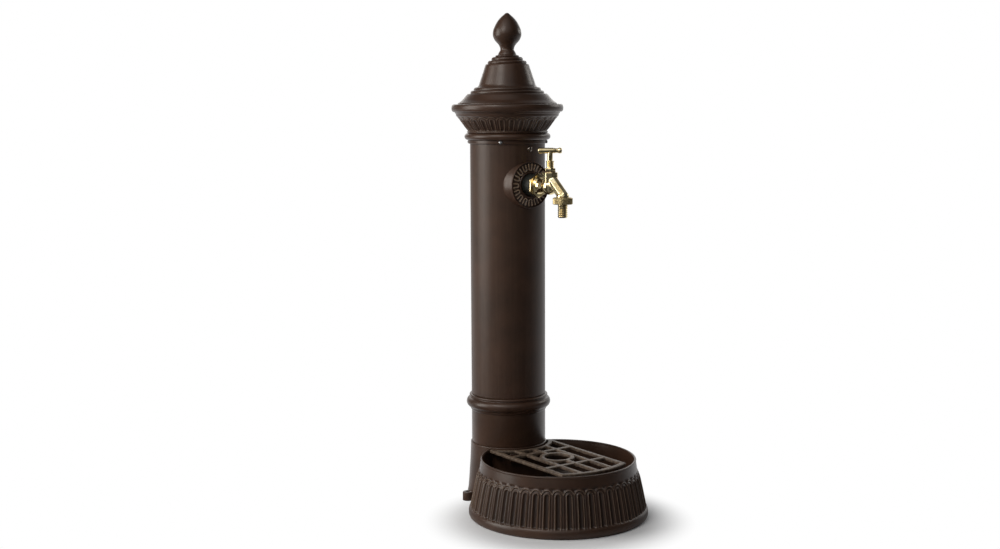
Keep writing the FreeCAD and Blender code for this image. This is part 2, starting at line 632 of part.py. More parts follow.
def tap_elbow():
    centre = (0, ELBOW_Y, TAP_Z)
    body = rod(ELBOW_BODY_R, (0, SADDLE_Y, TAP_Z), (0, ELBOW_Y - 6.0, TAP_Z))
    body = fuse_all(body, [Part.makeSphere(ELBOW_BODY_R, vec(*centre)),
                           rod(10.5, centre, (0, ELBOW_Y, PIPE_TOP + 2.0)),
                           rod(9.5, centre, (0, ELBOW_Y, PIPE_TOP - 6.0))])
    holes = [rod(THREAD_R, (0, SADDLE_Y - 8.0, TAP_Z), (0, ELBOW_Y - 10.0, TAP_Z)),
             rod(WATER_R, (0, SADDLE_Y, TAP_Z), centre), Part.makeSphere(WATER_R, vec(*centre)),
             rod(WATER_R, centre, (0, ELBOW_Y, PIPE_TOP - 12.0)),
             rod(PIPE_R, (0, ELBOW_Y, PIPE_TOP - 12.0), (0, ELBOW_Y, PIPE_TOP))]
    return cut_all(body, holes)


def compression_nut(x, y, low, high, closed_low):
    """Hexagon nut over a 9.5 mm radius end. The closed end bears on the olive."""
    nut = prism(6, 23.0, (x, y, low), (x, y, high))
    wall = low + 3.0 if closed_low else high - 3.0
    if closed_low:
        hollow = rod(9.5, (x, y, wall), (x, y, high + 1.0))
    else:
        hollow = rod(9.5, (x, y, low - 1.0), (x, y, wall))
    return nut.cut(hollow).cut(rod(PIPE_R, (x, y, low - 1.0), (x, y, high + 1.0)))


def elbow_nut():
    return compression_nut(0, ELBOW_Y, PIPE_TOP - 12.0, PIPE_TOP, True)


def elbow_olive():
    low = PIPE_TOP - 9.0
    return turned([(PIPE_R, low), (9.4, low), (9.4, low + 3.0), (PIPE_R, low + 3.0)], (0, ELBOW_Y, 0))


def riser_pipe():
    return turned([(PIPE_BORE_R, PIPE_BOTTOM), (PIPE_R, PIPE_BOTTOM), (PIPE_R, PIPE_TOP),
                   (PIPE_BORE_R, PIPE_TOP)], (0, ELBOW_Y, 0))


def pipe_grommet():
    low = COLLAR_Z - PLATE_T
    return turned([(PIPE_R, low - 2.0), (11.5, low - 2.0), (11.5, low), (GROMMET_R, low),
                   (GROMMET_R, COLLAR_Z), (9.9, COLLAR_Z), (9.9, COLLAR_Z + 2.0),
                   (PIPE_R, COLLAR_Z + 2.0)], (0, ELBOW_Y, 0))


def inlet_adaptor():
    top = INLET_Z + INLET_LEN
    body = rod(THREAD_R, (0, ELBOW_Y, INLET_Z), (0, ELBOW_Y, top))
    body = fuse_all(body, [prism(6, 25.0, (0, ELBOW_Y, top), (0, ELBOW_Y, top + 5.0)),
                           rod(9.5, (0, ELBOW_Y, top), (0, ELBOW_Y, top + 16.0))])
    holes = [rod(WATER_R, (0, ELBOW_Y, 0), (0, ELBOW_Y, 60.0)),
             rod(PIPE_R, (0, ELBOW_Y, PIPE_BOTTOM), (0, ELBOW_Y, 60.0))]
    return cut_all(body, holes)


def inlet_nut():
    top = INLET_Z + INLET_LEN
    return compression_nut(0, ELBOW_Y, top + 8.0, top + 22.0, False)


def inlet_olive():
    low = INLET_Z + INLET_LEN + 16.0
    return turned([(PIPE_R, low), (9.4, low), (9.4, low + 3.0), (PIPE_R, low + 3.0)], (0, ELBOW_Y, 0))


def spout_point(y):
    """A point on the spout's sloping axis, given how far it is in front."""
    return (0, y, NUT_TOP + 3.3 + (y - OUTLET_Y) * math.tan(math.radians(SPOUT_SLOPE)))


def tap_body():
    hex_y = -HEX_FRONT_Y
    body = rod(THREAD_R, (0, SADDLE_Y + 12.0, TAP_Z), (0, HEX_BACK_Y, TAP_Z))
    body = fuse_all(body, [
        prism(6, HEX_ACROSS, (0, HEX_BACK_Y, TAP_Z), (0, HEX_FRONT_Y, TAP_Z), 30.0),
        turned([(0, hex_y), (13.5, hex_y), (10.2, hex_y + 5.0), (9.4, hex_y + 15.0), (9.4, -SPINDLE_Y - 5.0),
                (0, -SPINDLE_Y - 5.0)], (0, 0, TAP_Z), (0, -1, 0)),
        Part.makeSphere(GLOBE_R, vec(0, SPINDLE_Y, TAP_Z)),
        prism(8, NECK_ACROSS, (0, SPINDLE_Y, TAP_Z + 7.0), (0, SPINDLE_Y, NECK_TOP), 22.5),
        prism(8, 2 * SPOUT_R * math.cos(math.pi / 8), spout_point(SPINDLE_Y - 7.0), spout_point(OUTLET_Y - 1.0),
              22.5),
        rod(9.5, (0, OUTLET_Y, NUT_TOP - 1.0), (0, OUTLET_Y, NUT_TOP + 5.0)),
        rod(UNION_THREAD_R, (0, OUTLET_Y, NUT_TOP - 3.0), (0, OUTLET_Y, NUT_TOP + 0.8))])
    under = rod(25.0, (0, OUTLET_Y, NUT_TOP - 27.0), (0, OUTLET_Y, NUT_TOP - 3.0))
    water = [rod(WATER_R, (0, ELBOW_Y - 2.0, TAP_Z), (0, HEX_FRONT_Y - 10.0, TAP_Z)),
             rod(4.0, (0, HEX_FRONT_Y - 9.0, TAP_Z - 4.5), (0, SPINDLE_Y, TAP_Z - 4.5)),
             rod(SEAT_BORE_R, (0, SPINDLE_Y, SEAT_Z - 5.5), (0, SPINDLE_Y, SEAT_Z + 1.0)),
             rod(CHAMBER_R, (0, SPINDLE_Y, SEAT_Z), (0, SPINDLE_Y, NECK_TOP + 1.0)),
             rod(4.5, spout_point(SPINDLE_Y - 5.0), spout_point(OUTLET_Y)),
             rod(4.5, spout_point(OUTLET_Y), (0, OUTLET_Y, NUT_TOP - 17.0))]
    return cut_all(body.cut(under), water)


def bonnet_washer():
    return turned([(CHAMBER_R, NECK_TOP), (8.6, NECK_TOP), (8.6, NECK_TOP + WASHER_T),
                   (CHAMBER_R, NECK_TOP + WASHER_T)], (0, SPINDLE_Y, 0))


def bonnet():
    low = NECK_TOP + WASHER_T
    body = rod(CHAMBER_R, (0, SPINDLE_Y, NECK_TOP - 6.0), (0, SPINDLE_Y, low))
    body = fuse_all(body, [prism(6, BONNET_ACROSS, (0, SPINDLE_Y, low), (0, SPINDLE_Y, BONNET_TOP), 30.0),
                           rod(4.9, (0, SPINDLE_Y, low), (0, SPINDLE_Y, BONNET_TOP + 6.0))])
    return body.cut(rod(SPINDLE_BORE_R, (0, SPINDLE_Y, NECK_TOP - 15.0), (0, SPINDLE_Y, BONNET_TOP + 19.0)))


def gland_packing():
    low = BONNET_TOP + 6.0
    return turned([(STEM_R + STEM_CLEARANCE, low), (4.8, low), (4.8, low + 2.0),
                   (STEM_R + STEM_CLEARANCE, low + 2.0)], (0, SPINDLE_Y, 0))


def gland_nut():
    low = BONNET_TOP + 0.8
    top = BONNET_TOP + 11.4
    body = turned([(4.9, low), (5.7, low)] +
                  [step for k in range(5) for step in ((5.7, low + 0.9 + 1.8 * k), (5.3, low + 1.3 + 1.8 * k),
                                                       (5.7, low + 1.8 + 1.8 * k))] +
                  [(6.4, top - 1.5), (6.4, top), (STEM_R + STEM_CLEARANCE, top),
                   (STEM_R + STEM_CLEARANCE, BONNET_TOP + 8.0), (4.9, BONNET_TOP + 8.0)], (0, SPINDLE_Y, 0))
    return body


def jumper_washer():
    return turned([(0, SEAT_Z), (VALVE_DISC_R, SEAT_Z), (VALVE_DISC_R, SEAT_Z + 2.5), (0, SEAT_Z + 2.5)],
                  (0, SPINDLE_Y, 0))


def jumper():
    low = SEAT_Z + 2.5
    return turned([(0, low), (VALVE_DISC_R, low), (VALVE_DISC_R, low + 2.0), (VALVE_STEM_R, low + 2.0),
                   (VALVE_STEM_R, low + 9.0), (0, low + 9.0)], (0, SPINDLE_Y, 0))


def spindle():
    low = SEAT_Z + 4.6
    socket_r = VALVE_STEM_R + SPINDLE_CLEARANCE
    return turned([(socket_r, low), (SPINDLE_R, low), (SPINDLE_R, BONNET_TOP - 2.0), (STEM_R, BONNET_TOP - 1.0),
                   (STEM_R, HANDLE_Z), (0, HANDLE_Z), (0, low + 8.0), (socket_r, low + 8.0)],
                  (0, SPINDLE_Y, 0))


def handle_bar():
    """Cross bar with a shallow groove and a waisted right end, turned a little about the spindle."""
    end = 2 * HANDLE_HALF
    groove = end - 13.2
    turn = math.radians(HANDLE_TURN)
    along = (math.cos(turn), math.sin(turn), 0)
    left = (-HANDLE_HALF * along[0], SPINDLE_Y - HANDLE_HALF * along[1], HANDLE_Z)
    bar = turned([(0, 0), (HANDLE_R - 0.5, 0), (HANDLE_R, 0.5), (HANDLE_R, groove), (HANDLE_R - 0.8, groove + 0.4),
                  (HANDLE_R - 0.8, groove + 1.1), (HANDLE_R - 0.1, groove + 1.6),
                  ((HANDLE_R - 0.6, groove + 5.5), (HANDLE_R, end - 3.0)), (HANDLE_R + 0.1, end - 0.9),
                  (HANDLE_R - 0.5, end), (0, end)], left, along)
    return bar.cut(rod(STEM_R, (0, SPINDLE_Y, HANDLE_Z - 28.0), (0, SPINDLE_Y, HANDLE_Z)))


def union_washer():
    high = NUT_TOP - 3.0
    return turned([(5.0, high - UNION_WASHER_T), (12.6, high - UNION_WASHER_T), (12.6, high), (5.0, high)],
                  (0, OUTLET_Y, 0))


def union_nut():
    thread = UNION_THREAD_R + UNION_CLEARANCE
    lip = NUT_BOTTOM + NUT_LIP
    body = turned([(TAIL_R + 0.8, NUT_BOTTOM), (NUT_R - 1.0, NUT_BOTTOM), (NUT_R, NUT_BOTTOM + 1.0),
                   (NUT_R, NUT_TOP - 1.0), (NUT_R - 1.0, NUT_TOP), (thread, NUT_TOP), (thread, lip - 0.05),
                   (TAIL_R + 0.8, lip - 0.05)], (0, OUTLET_Y, 0))
    grooves = []
    for k in range(40):
        x, y, z = around(9.0 * k, NUT_R + 0.35, 0.0, OUTLET_Y)
        grooves.append(rod(0.7, (x, y, NUT_BOTTOM - 1.0), (x, y, NUT_TOP + 1.0)))
    return cut_all(body, grooves)


def hose_tail():
    lip = NUT_BOTTOM + NUT_LIP
    outline = [(4.8, TAIL_BOTTOM), (TAIL_R - 0.6, TAIL_BOTTOM)]
    for k in range(5):
        z = TAIL_BOTTOM + 3.2 * k
        outline += [(TAIL_R + 0.7, z + 2.5), (TAIL_R - 0.2, z + 3.2)]
    outline += [(TAIL_R - 0.2, lip), (TAIL_FLANGE_R, lip), (TAIL_FLANGE_R, lip + TAIL_FLANGE_T),
                (4.8, lip + TAIL_FLANGE_T)]
    return turned(outline, (0, OUTLET_Y, 0))


NODES = [base_casting, grate, drain_waste, drain_seal, drain_backnut, column_collar, collar_bolts,
         collar_washers, column_tube, tube_screws, tap_rosette, rosette_screws, capital, capital_screws, roof,
         finial, finial_stud, finial_nut, head_bridge, bridge_screws, inlet_adaptor, inlet_nut, inlet_olive,
         pipe_grommet, riser_pipe, elbow_nut, elbow_olive, tap_elbow, elbow_saddle, tap_bush, tap_body, bonnet,
         bonnet_washer, gland_nut, gland_packing, jumper, jumper_washer, spindle, handle_bar, union_nut,
         hose_tail, union_washer]


def main():
    os.makedirs("parts", exist_ok=True)
    for make in NODES:
        shape = make()
        shape.translate(vec(0, SHIFT_Y, 0))
        shape.exportStep("parts/" + make.__name__ + ".step")
        low = shape.BoundBox
        print(make.__name__, len(shape.Solids), shape.isValid(), round(shape.Volume),
              [round(v, 2) for v in (low.XMin, low.XMax, low.YMin, low.YMax, low.ZMin, low.ZMax)])


main()
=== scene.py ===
"""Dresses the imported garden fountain: a column with a brass tap over a fluted basin with a grate.

Outlines are in millimetres from the column's axis, with the ground at zero, the front towards -Y."""

import math

import bmesh
import bpy
from bpy.props import FloatProperty, FloatVectorProperty, IntProperty, PointerProperty
from mathutils import Matrix, Vector


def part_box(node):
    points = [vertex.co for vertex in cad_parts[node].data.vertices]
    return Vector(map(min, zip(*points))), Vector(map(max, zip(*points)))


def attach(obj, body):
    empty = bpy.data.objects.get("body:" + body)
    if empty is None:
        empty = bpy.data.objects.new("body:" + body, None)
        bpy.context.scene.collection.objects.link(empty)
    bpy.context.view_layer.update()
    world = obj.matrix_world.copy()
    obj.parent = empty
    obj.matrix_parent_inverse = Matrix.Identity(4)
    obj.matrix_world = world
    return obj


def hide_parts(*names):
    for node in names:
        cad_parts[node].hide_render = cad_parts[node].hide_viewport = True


bl_info = {
    "name": "Garden Fountain",
    "version": (1, 0, 0),
    "blender": (4, 5, 0),
    "location": "3D View > Sidebar > Fountain",
    "description": "Builds a cast garden fountain with a brass tap around its packed frame",
    "category": "Add Mesh",
}

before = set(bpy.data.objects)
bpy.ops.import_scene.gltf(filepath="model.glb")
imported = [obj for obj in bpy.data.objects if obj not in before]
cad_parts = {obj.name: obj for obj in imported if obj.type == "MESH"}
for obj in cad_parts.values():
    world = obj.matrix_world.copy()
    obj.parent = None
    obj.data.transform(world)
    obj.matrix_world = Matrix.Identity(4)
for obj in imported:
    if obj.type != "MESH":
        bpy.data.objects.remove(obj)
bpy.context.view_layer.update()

MM = 0.001
TUBE_LOW, TUBE_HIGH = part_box("column_tube")
# The column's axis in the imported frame, and the matrix that takes the outlines there.
AXIS_Y = (TUBE_LOW.y + TUBE_HIGH.y) / 2
TO_ROW = Matrix.Translation((0.0, AXIS_Y, 0.0)) @ Matrix.Scale(MM, 4)
TO_FRONT = (0, -1, 0)

# Axes of the basin, the supply pipe, the tap's inlet, its spindle, its outlet and its handle bar.
BASIN_Y = -134.0
PIPE_Y = -28.0
TAP_Z = 513.0
SPINDLE_Y = -113.0
OUTLET_Y = -145.0
HANDLE_Z = 568.0

# Edges sharper than this are shaded as edges: on plain pieces, and on those with relief.
SHARP_ANGLE = math.radians(38)
RELIEF_ANGLE = math.radians(75)
# Faces round the large turned pieces, the middle ones, the small ones, the tap's body, and a drill.
ROUND_STEPS = 256
MIDDLE_STEPS = 96
SMALL_STEPS = 72
BODY_STEPS = 64
DRILL_STEPS = 48
# Largest turn between two points of an arc, and the flattest corner that is rounded.
ARC_STEP = math.radians(12)
CORNER_ANGLE = math.radians(17)
# Most of a side that the rounding of its corner takes, and the rounding's points along its curve.
CORNER_SHARE = 0.4
CORNER_PLACES = (0.0, 0.33, 0.67, 1.0)
# Points nearer than this are one.
WELD = 2e-3

# Places of the mesh columns across one arched flute, as shares of its width. They crowd at the ridges.
FLUTE_COLUMNS = (0.0, 0.10, 0.175, 0.218, 0.25, 0.285, 0.35, 0.425, 0.468)
COLUMNS_PER_FLUTE = 2 * len(FLUTE_COLUMNS) - 1
# How far below a ridge the painted highlight ends, and how far outside its arch.
HIGHLIGHT_DROP = 0.4
HIGHLIGHT_REACH = 1.0
# The share of a flute's depth at which painted shade begins, and how fast it grows below that.
PAINTED_SHADE_START, PAINTED_SHADE_GROWTH = 0.3, 1.5

# Most of a noise lies between these values.
NOISE_LOW, NOISE_HIGH = 0.3, 0.7
COAT_IOR = 1.5
# The coat's fine texture takes some of its mirror.
COAT_SPECULAR = 0.36


def linear(hex_colour):
    """An sRGB hex colour as linear red, green, blue and alpha."""
    values = [int(hex_colour[k:k + 2], 16) / 255 for k in (1, 3, 5)]
    return tuple(v / 12.92 if v <= 0.04045 else ((v + 0.055) / 1.055) ** 2.4 for v in values) + (1.0,)


def per(millimetres):
    """The scale at which a noise has grains of that size."""
    return 1.0 / (millimetres * MM)


# Outlines


def arc_points(start, through, end):
    """Points of the arc from start through a point to end, without the start."""
    (ax, ay), (bx, by), (cx, cy) = start, through, end
    d = 2 * (ax * (by - cy) + bx * (cy - ay) + cx * (ay - by))
    a2, b2, c2 = ax * ax + ay * ay, bx * bx + by * by, cx * cx + cy * cy
    ux = (a2 * (by - cy) + b2 * (cy - ay) + c2 * (ay - by)) / d
    uy = (a2 * (cx - bx) + b2 * (ax - cx) + c2 * (bx - ax)) / d
    radius = math.hypot(ax - ux, ay - uy)
    first = math.atan2(ay - uy, ax - ux)
    middle = (math.atan2(by - uy, bx - ux) - first) % math.tau
    sweep = (math.atan2(cy - uy, cx - ux) - first) % math.tau
    if middle > sweep:
        sweep -= math.tau
    count = max(3, round(abs(sweep) / ARC_STEP))
    angles = [first + sweep * k / count for k in range(1, count + 1)]
    return [(ux + radius * math.cos(a), uy + radius * math.sin(a)) for a in angles]


def smooth_points(points, cuts=4):
    """Points of a smooth curve through the given ones, without the first."""
    ends = [points[0]] + list(points) + [points[-1]]
    out = []
    for p0, p1, p2, p3 in zip(ends, ends[1:], ends[2:], ends[3:]):
        for k in range(1, cuts + 1):
            t = k / cuts
            out.append(tuple(0.5 * (2 * b + (c - a) * t + (2 * a - 5 * b + 4 * c - d) * t * t
                                    + (3 * b - a - 3 * c + d) * t ** 3)
                             for a, b, c, d in zip(p0, p1, p2, p3)))
    return out


def traced(steps, soft=0.0):
    """Points of an outline. A pair is a corner, a pair of pairs an arc through the first to the second, a
    list a smooth curve. Sharp corners are rounded by the soft distance."""
    points = [steps[0]]
    for step in steps[1:]:
        if isinstance(step, list):
            points += smooth_points([points[-1]] + step)
        elif isinstance(step[0], tuple):
            points += arc_points(points[-1], *step)
        else:
            points.append(step)
    if not soft:
        return points
    out = []
    for before, here, after in zip([points[-1]] + points, points, points[1:] + [points[0]]):
        into, onto = Vector(here) - Vector(before), Vector(after) - Vector(here)
        on_axis = here[0] < 1e-6
        if on_axis or into.length < 1e-6 or onto.length < 1e-6 or into.angle(onto) < CORNER_ANGLE:
            out.append(here)
            continue
        first = Vector(here) - into.normalized() * min(soft, into.length * CORNER_SHARE)
        last = Vector(here) + onto.normalized() * min(soft, onto.length * CORNER_SHARE)
        out += [tuple((1 - t) ** 2 * first + 2 * t * (1 - t) * Vector(here) + t * t * last)
                for t in CORNER_PLACES]
    return out


# Mesh work


def spun(points, steps, base=(0.0, 0.0, 0.0), along=(0.0, 0.0, 1.0)):
    """A closed outline of (radius, height) points turned about an axis: first one wedge, which is then
    repeated round the axis, because a spin of hundreds of steps is slow."""
    bm = bmesh.new()
    ring = [bm.verts.new((r, 0.0, z)) for r, z in points]
    edges = [bm.edges.new(pair) for pair in zip(ring, ring[1:] + ring[:1])]
    wedges = max(n for n in range(2, steps) if steps % n == 0 and n * n <= 2 * steps)
    bmesh.ops.spin(bm, geom=ring + edges, cent=(0, 0, 0), axis=(0, 0, 1), angle=math.tau / wedges,
                   steps=steps // wedges)
    bmesh.ops.spin(bm, geom=bm.verts[:] + bm.edges[:] + bm.faces[:], cent=(0, 0, 0), axis=(0, 0, 1),
                   angle=math.tau * (wedges - 1) / wedges, steps=wedges - 1, use_duplicate=True)
    bmesh.ops.remove_doubles(bm, verts=bm.verts, dist=WELD)
    bmesh.ops.dissolve_degenerate(bm, dist=1e-5, edges=bm.edges)
    bmesh.ops.recalc_face_normals(bm, faces=bm.faces)
    turn = Vector((0, 0, 1)).rotation_difference(Vector(along)).to_matrix().to_4x4()
    bmesh.ops.transform(bm, matrix=Matrix.Translation(base) @ turn, verts=bm.verts)
    return bm


def drill(radius, low, high, y=0.0, steps=DRILL_STEPS):
    """A round bar standing at a place, to be cut out of another mesh."""
    return spun([(0, low), (radius, low), (radius, high), (0, high)], steps, (0, y, 0))


def bevelled(bm, edges, offset, segments=2):
    """Rounds some edges of a mesh."""
    bmesh.ops.bevel(bm, geom=edges, offset=offset, segments=segments, profile=0.5, affect="EDGES",
                    material=-1)


def prism(sides, across, start, end, turned, soft=0.0):
    """A bar with flat sides between two points, its edges rounded by the soft distance."""
    bm = bmesh.new()
    line = Vector(end) - Vector(start)
    corner = across / 2 / math.cos(math.pi / sides)
    middle = Matrix.Translation((0, 0, line.length / 2)) @ Matrix.Rotation(turned, 4, "Z")
    bmesh.ops.create_cone(bm, cap_ends=True, segments=sides, radius1=corner, radius2=corner,
                          depth=line.length, matrix=middle)
    if soft:
        bevelled(bm, bm.edges, soft)
    turn = line.to_track_quat("Z", "X").to_matrix().to_4x4()
    bmesh.ops.transform(bm, matrix=Matrix.Translation(start) @ turn, verts=bm.verts)
    return bm


def merged(*parts):
    """Several meshes in one."""
    bm = bmesh.new()
    for part in parts:
        mesh = bpy.data.meshes.new("part")
        part.to_mesh(mesh)
        part.free()
        bm.from_mesh(mesh)
        bpy.data.meshes.remove(mesh)
    return bm


def modified(bm, kind, **settings):
    """The mesh after one modifier. A bmesh among the settings becomes the modifier's object."""
    made = []
    for key, value in [("", bm)] + list(settings.items()):
        if isinstance(value, bmesh.types.BMesh):
            mesh = bpy.data.meshes.new("work")
            value.to_mesh(mesh)
            value.free()
            made.append(bpy.data.objects.new("work", mesh))
            bpy.context.scene.collection.objects.link(made[-1])
            if key:
                settings[key] = made[-1]
    modifier = made[0].modifiers.new("work", kind)
    for key, value in settings.items():
        setattr(modifier, key, value)
    result = bpy.data.meshes.new_from_object(made[0].evaluated_get(bpy.context.evaluated_depsgraph_get()))
    out = bmesh.new()
    out.from_mesh(result)
    bpy.data.meshes.remove(result)
    for thing in made:
        mesh = thing.data
        bpy.data.objects.remove(thing)
        bpy.data.meshes.remove(mesh)
    return out


def cut(bm, tool):
    """The mesh without what the tool fills."""
    return modified(bm, "BOOLEAN", operation="DIFFERENCE", solver="MANIFOLD", object=tool)


def joined(bm, tool):
    """The mesh and the tool as one closed skin."""
    return modified(bm, "BOOLEAN", operation="UNION", solver="MANIFOLD", object=tool)


def common(bm, tool):
    """What the mesh and the tool both fill."""
    return modified(bm, "BOOLEAN", operation="INTERSECT", solver="MANIFOLD", object=tool)


def at_stops(stops, x):
    """The value at x of a line through (place, value) stops."""
    for (x0, v0), (x1, v1) in zip(stops, stops[1:]):
        if x <= x1:
            return v0 + (v1 - v0) * max(0.0, x - x0) / (x1 - x0)
    return stops[-1][1]


def arched_flute(half, ridge, deep, shallow, plain, flank):
    """Stops of how far the surface lies below the ridges, against the distance from the middle of a
    flute. A round flute lies between two ridges, a shallow groove parts them from the next flute's, and
    outside its arch a flank leads down to the plain surface."""
    inner = half / 2
    flute = [(0, deep), (0.40 * inner, 0.86 * deep), (0.70 * inner, 0.52 * deep),
             (inner - 0.6 * ridge, 0.16 * deep), (inner, 0)]
    groove = [(inner + 0.7 * ridge, 0.45 * shallow), (1.4 * inner, shallow),
              (half - 1.3 * ridge, 0.9 * shallow), (half - 0.6 * ridge, 0.35 * shallow), (half, 0)]
    outside = [(half + 0.3 * flank, 0.2 * plain), (half + flank, plain), (half + 20 * flank, plain)]
    return flute + groove + outside


def flute_place(angle, count, centre=0.0):
    """The angle of a mesh column moved to its place across its flute, and its share of the half width."""
    pitch = math.tau / count
    index = round((angle - centre) / pitch * COLUMNS_PER_FLUTE)
    flute, column = divmod(index + COLUMNS_PER_FLUTE // 2, COLUMNS_PER_FLUTE)
    column -= COLUMNS_PER_FLUTE // 2
    share = math.copysign(FLUTE_COLUMNS[abs(column)], column)
    return centre + (flute + share) * pitch, 2 * abs(share)


def from_node(name, soft):
    """A copy of a node's solid with its flat faces merged and its edges rounded, in the row's metres."""
    bm = bmesh.new()
    bm.from_mesh(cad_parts[name].data)
    bmesh.ops.remove_doubles(bm, verts=bm.verts, dist=1e-6)
    bmesh.ops.dissolve_limit(bm, angle_limit=math.radians(1.0), verts=bm.verts, edges=bm.edges)
    corner = math.radians(40)
    edges = [e for e in bm.edges if len(e.link_faces) == 2 and e.calc_face_angle() > corner]
    bevelled(bm, edges, soft * MM)
    return bm


def piece(bm, name, material, body, slot, *nodes, placed=False, sharp=SHARP_ANGLE):
    """Makes a finished piece that rides on a body and stands for CAD nodes."""
    if not placed:
        bmesh.ops.transform(bm, matrix=TO_ROW, verts=bm.verts)
    mesh = bpy.data.meshes.new(name)
    bm.to_mesh(mesh)
    bm.free()
    mesh.shade_smooth()
    mesh.set_sharp_from_angle(angle=sharp)
    mesh.materials.append(material)
    made = bpy.data.objects.new(name, mesh)
    bpy.context.scene.collection.objects.link(made)
    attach(made, body)
    if nodes:
        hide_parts(*nodes)


def repaint(material, *nodes):
    """Gives CAD nodes that keep their shape a better material."""
    for name in nodes:
        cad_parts[name].material_slots[0].material = material


# Materials


def add(tree, kind, inputs=(), **settings):
    """Adds one node, sets its options, and fills its inputs with values or other nodes' outputs."""
    made = tree.nodes.new(kind)
    for key, value in settings.items():
        setattr(made, key, value)
    for key, value in dict(inputs).items():
        if isinstance(value, bpy.types.NodeSocket):
            tree.links.new(value, made.inputs[key])
        else:
            made.inputs[key].default_value = value
    return made


def start_material(name):
    """The named material, empty, or None and the material where it is made already."""
    if name in bpy.data.materials:
        return None, bpy.data.materials[name]
    material = bpy.data.materials.new(name)
    material.use_nodes = True
    material.node_tree.nodes.clear()
    return material.node_tree, material


def dressed(tree, inputs):
    """Ends a material with one shader for its whole surface."""
    shader = add(tree, "ShaderNodeBsdfPrincipled", inputs)
    add(tree, "ShaderNodeOutputMaterial", {"Surface": shader.outputs[0]})


def grains(tree, size, detail=2.0, stretch=(1.0, 1.0, 1.0)):
    """A pattern on the piece's own coordinates with grains of a size in mm, longer along an axis whose
    stretch is more than one."""
    place = add(tree, "ShaderNodeTexCoord").outputs["Object"]
    if stretch != (1.0, 1.0, 1.0):
        shrunk = tuple(1.0 / s for s in stretch)
        place = add(tree, "ShaderNodeMapping", {"Vector": place, "Scale": shrunk}).outputs[0]
    return add(tree, "ShaderNodeTexNoise", {"Vector": place, "Scale": per(size), "Detail": detail}).outputs[0]


def tinted(tree, colour, pattern, tint, share=1.0, start=NOISE_LOW, stop=NOISE_HIGH):
    """A colour with a tint over it, whose share grows where the pattern goes from start to stop."""
    mask = add(tree, "ShaderNodeMapRange", {"Value": pattern, "From Min": start, "From Max": stop,
                                            "To Min": 0.0, "To Max": share}).outputs[0]
    # Sockets 6 and 7 of the Mix node are its two colours.
    return add(tree, "ShaderNodeMix", {0: mask, 6: colour, 7: tint}, data_type="RGBA").outputs[2]


def surfaced(tree, gloss, low, high, relief, depth):
    """A roughness between two values by one pattern, and bumps of a depth in mm by another."""
    rough = add(tree, "ShaderNodeMapRange", {"Value": gloss, "From Min": NOISE_LOW, "From Max": NOISE_HIGH,
                                             "To Min": low, "To Max": high})
    bumps = add(tree, "ShaderNodeBump", {"Height": relief, "Distance": depth * MM, "Strength": 1.0})
    return rough.outputs[0], bumps.outputs[0]


def powder_coat(drawn):
    """Satin dark brown powder coat: a soft broad sheen with a faint cloudy shade and a fine orange peel.
    On the drawn tube faint streaks run upwards, and on the castings the ridges carry a painted highlight and
    the hollows painted shade."""
    tree, material = start_material("powder_coat_on_drawn_tube" if drawn else "powder_coat_on_casting")
    if tree is None:
        return material
    finish = bpy.context.scene.fountain_finish
    rough = finish.coat_roughness
    dark, light = tuple(finish.coat_dark) + (1.0,), tuple(finish.coat_light) + (1.0,)
    colour = tinted(tree, dark, grains(tree, 45.0, 3.0), light)
    skin = grains(tree, 2.2)
    if drawn:
        streaks = grains(tree, 5.0, 4.0, (1.0, 1.0, 40.0))
        colour = tinted(tree, colour, streaks, linear("#4E3C30"), 0.35, 0.45, 0.75)
        gloss, bumps = surfaced(tree, streaks, rough + 0.05, rough + 0.12, skin, 0.035)
    else:
        # Painted light: the ridge mask lightens the ridges as a painted highlight, and the hollow mask
        # darkens the flutes as painted shade.
        ridge = add(tree, "ShaderNodeAttribute", attribute_name="ridge").outputs["Fac"]
        painted_hollow_shade = add(tree, "ShaderNodeAttribute", attribute_name="painted_hollow_shade").outputs["Fac"]
        colour = tinted(tree, colour, ridge, linear("#A08B78"), 1.0, 0.0, 2.0)
        colour = tinted(tree, colour, painted_hollow_shade, linear("#160E0A"), 0.6, 0.0, 1.0)
        gloss, bumps = surfaced(tree, skin, rough - 0.04, rough + 0.06, skin, 0.035)
    waves = add(tree, "ShaderNodeBump", {"Height": grains(tree, 14.0), "Distance": 0.06 * MM,
                                         "Strength": 1.0, "Normal": bumps})
    dressed(tree, {"Base Color": colour, "Roughness": gloss, "IOR": COAT_IOR,
                   "Specular IOR Level": COAT_SPECULAR, "Normal": waves.outputs[0]})
    return material


def pale_grate_coat():
    """Powder coat on the grate, clouded, and paler, warmer and duller than on the column."""
    tree, material = start_material("pale_powder_coat_on_grate")
    if tree is None:
        return material
    colour = tinted(tree, linear("#453930"), grains(tree, 6.0, 4.0), linear("#6A5A4C"), 1.0, 0.35, 0.65)
    scuffs = grains(tree, 1.8, 3.0)
    gloss, bumps = surfaced(tree, scuffs, 0.45, 0.60, scuffs, 0.05)
    dressed(tree, {"Base Color": colour, "Roughness": gloss, "IOR": COAT_IOR,
                   "Specular IOR Level": COAT_SPECULAR, "Normal": bumps})
    return material


def polished_brass():
    """Cast brass, linished and polished: a bright pale gold with soft smears and a faint hammered wave."""
    tree, material = start_material("polished_cast_brass")
    if tree is None:
        return material
    finish = bpy.context.scene.fountain_finish
    rough = finish.brass_roughness
    smears = grains(tree, 9.0, 3.0, (1.0, 1.0, 2.0))
    colour = tinted(tree, tuple(finish.brass_light) + (1.0,), smears, linear("#CBB178"))
    gloss, bumps = surfaced(tree, grains(tree, 3.0, 3.0), rough - 0.05, rough + 0.08,
                            grains(tree, 4.0), 0.06)
    dressed(tree, {"Base Color": colour, "Metallic": 1.0, "Roughness": gloss, "Normal": bumps})
    return material


